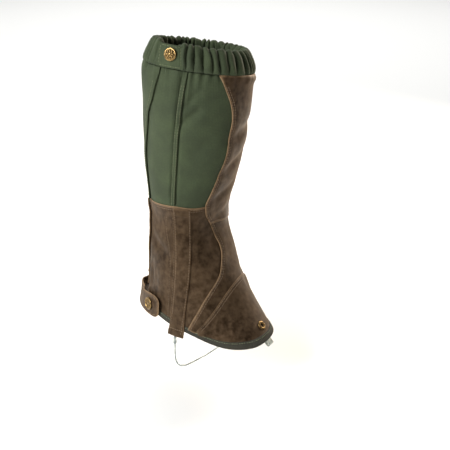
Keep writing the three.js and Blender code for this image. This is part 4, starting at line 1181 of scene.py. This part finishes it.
sew("shin_foot_stitches", rows_up(shin_outer, AFTER, 14, 146) + rows_up(shin_inner, BEFORE, 16, 138),
    panel_level)
sew("shin_stitches", rows_up(shin_outer, AFTER, 149, 329) + rows_up(shin_inner, BEFORE, 141, 332)
    + rows_round(ankle_seam, (2.2,), -16, 72), shin_level)
sew("vamp_stitches", rows_round(vamp_seam, BEFORE, VAMP_OUTER + 3, VAMP_INNER - 3), vamp_level)
sew("leather_top_stitches", rows_round(leather_top, BEFORE, -144, -29)
    + rows_round(leather_top, BEFORE, 82, 139) + rows_up(outer_strip, (-12.6, -17.6), 16, 160), lower_level)
sew("heel_stitches", rows_round(leather_top, BEFORE, 141, 204) + rows_up(always(BACK_SEAM), AFTER, 40, 168),
    back_lap(lower_level))
sew("back_cloth_stitches", rows_up(always(BACK_SEAM), AFTER, 172, 336), back_lap(cloth_level), GREEN_STITCH)
sew("felled_stitches", rows_up(fell, (-1.7, 1.7), 173, 331), fell_level, GREEN_STITCH)
sew("zip_front_stitches", rows_up(always(ZIP_FRONT), (2,), 174, 316), cloth_level, GREEN_STITCH)
for side, centre in (("outer", outer_strip), ("inner", inner_strip)):
    edge = STRIP_WIDTH / 2 - 1.6
    sew(f"{side}_strip_stitches", rows_up(centre, (-edge, edge), 6, leather_top(centre(170.0)) - 3)
        + rows_round(always(13.0), (0,), centre(13.0) - 8, centre(13.0) + 8), strip_level(centre))
sew("hem_stitches", rows_round(hem_top, (-1.8,), ZIP_FRONT + 2, ZIP_REAR - 2), binding_level,
    (green_thread, "binding"))
sew("flap_cloth_stitches", rows_up(flap_edge, (-4.4,), 172, 333, closed_flap), flap_cloth_level, GREEN_STITCH,
    "flap", closed_flap)
sew("flap_hide_stitches", rows_up(flap_edge, (-4.4,), FLAP_LOW + 3, 166, closed_flap)
    + rows_round(leather_top, BEFORE, -168, -131) + rows_round(always(FLAP_LOW), (3,), -168, -137),
    flap_hide_level, BROWN_STITCH, "flap", closed_flap)
sew("flap_margin_cloth_stitches", rows_up(always(-180), (0,), 172, 330, closed_flap), flap_cloth_level,
    GREEN_STITCH, surface=closed_flap)
sew("flap_margin_hide_stitches", rows_up(always(-180), (0,), 54, 168, closed_flap), flap_hide_level,
    surface=closed_flap)
tab_rows = [rows_up(always(side), (0,), cuff_seam(side) + 2.5, cuff_seam(side) + 24.5, limb)[0]
            for side in CUFF_TAB_SIDES]
sew("cuff_tab_stitches", tab_rows + rows_round(cuff_seam, CUFF_TAB_ROWS, *CUFF_TAB_SIDES), tab_level,
    GREEN_STITCH, TAB_FOLD, limb)

def tab_border(inset):
    """A closed row inside the ankle tab's free edges, from its fold round its end and back."""
    z = TAB_MIDDLE + (TAB_HALF - inset) * np.sin(np.linspace(-np.pi / 2, np.pi / 2, 300))
    end = tab_end(TAB_MIDDLE + (z - TAB_MIDDLE) * TAB_HALF / (TAB_HALF - inset)) - 1.0 * inset
    back_in, back_out = np.linspace(-156, end[0], 120), np.linspace(end[-1], -156, 120)
    return (np.concatenate([back_in, end, back_out]),
            np.concatenate([np.full(120, z[0]), z, strap_top(back_out) - inset]))


sew("ankle_tab_stitches", [tab_border(2.4)], ankle_tab_level, BROWN_STITCH, "ankle_snap_tab", strap_way)
sew("ankle_margin_stitches", rows_up(always(-169), (-1.3, 1.3), 20, 42, limb), ankle_tab_level, surface=limb)

# %% [markdown]
# ## The rest of the metal
# The zip's slider and pull, the snaps' hidden halves, the hook and the ferrules keep their shapes
# and get a metal finish.

# %% Metal finishes
for name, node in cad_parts.items():
    if not node.hide_render:
        node.data.materials.clear()
        node.data.materials.append(steel if name == "lace_hook" or "ferrule" in name else brass)
print("CAD pieces kept:", sorted(n for n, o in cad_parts.items() if not o.hide_render))

# %% [markdown]
# ## Cut sizes
# Each cloth panel is a sheet. Its size before sewing is the spread of its unwrapped place. The loop below works
# that out, with the area, for each panel and keeps none of it.


def cut_size(piece):
    """Width, length and area of a panel, in metres, from its faces and its unwrapped place."""
    mesh = piece.data
    place = np.empty(2 * len(mesh.loops), np.float32)
    mesh.uv_layers["cut"].data.foreach_get("uv", place)
    area = np.empty(len(mesh.polygons))
    mesh.polygons.foreach_get("area", area)
    place = place.reshape(-1, 2)
    spread = place.max(0) - place.min(0)
    return float(spread[0]), float(spread[1]), float(area.sum() / 2)


for piece in sheets:
    wide, long, area = cut_size(piece)

# %% [markdown]
# ## Floor and light
# The leg is over pale paper in a room that is white behind it. A soft box on its outer side shapes the
# cloth, a small warm one on the inner side lights the shin, and a broad one keeps the far paper white.

# %% Floor and light
floor_mesh = bpy.data.meshes.new("floor")
FLOOR_Z = -66
FLOOR_RADIUS = 9000
FLOOR_SIDES = 96
round_floor = np.linspace(0, 2 * np.pi, FLOOR_SIDES, endpoint=False)
edge = np.stack([FLOOR_RADIUS * np.cos(round_floor), FLOOR_RADIUS * np.sin(round_floor),
                 np.full(FLOOR_SIDES, FLOOR_Z)], -1)
floor_mesh.from_pydata((edge * MM).tolist(), [], [list(range(FLOOR_SIDES))])
floor = bpy.data.objects.new("floor", floor_mesh)
bpy.context.scene.collection.objects.link(floor)
paper, _, paper_shader = new_material("pale_paper", Roughness=0.9)
paper_shader.inputs["Base Color"].default_value = linear("#eeeeec")
floor_mesh.materials.append(paper)


def softbox(name, at, size, power, aim=(0, 0, 0.16), colour=(1, 1, 1)):
    """A square area light, at a place in metres, facing the leg."""
    lamp = bpy.data.lights.new(name, "AREA")
    lamp.size = size
    lamp.energy = power
    lamp.color = colour
    made = bpy.data.objects.new(name, lamp)
    made.location = at
    made.rotation_mode = "QUATERNION"
    made.rotation_quaternion = (Vector(aim) - Vector(at)).to_track_quat("-Z", "Y")
    bpy.context.scene.collection.objects.link(made)


softbox("key_light", (-1.6, 0.2, 1.1), 0.8, 48)
softbox("rim_light", (1.2, -0.15, 0.7), 0.5, 22, colour=(1, 0.86, 0.7))
softbox("floor_light", (2.2, 1.8, 2.6), 3.0, 85, aim=(2.2, 1.8, 0))
world = bpy.data.worlds.new("studio")
world.use_nodes = True
# The room is white behind the leg and dark in front of it, which gives the leg a dark side.
room = world.node_tree
toward = add_node(room, "TexCoord").outputs["Generated"]
forward = add_node(room, "VectorMath", {0: toward, 1: (0, -1, 0.1)}, operation="DOT_PRODUCT").outputs["Value"]
strength = add_node(room, "MapRange", {"Value": forward, "From Min": -0.6, "From Max": 0.15, "To Min": 1.0,
                                       "To Max": 0.04}, interpolation_type="SMOOTHSTEP").outputs[0]
room.links.new(strength, room.nodes["Background"].inputs[1])
room.nodes["Background"].inputs[0].default_value = (1, 1, 1, 1)
bpy.context.scene.world = world
bpy.context.scene.view_settings.view_transform = "Standard"

# %% [markdown]
# ## Update
# The last line brings the scene's positions up to date.

# %% Update
bpy.context.view_layer.update()
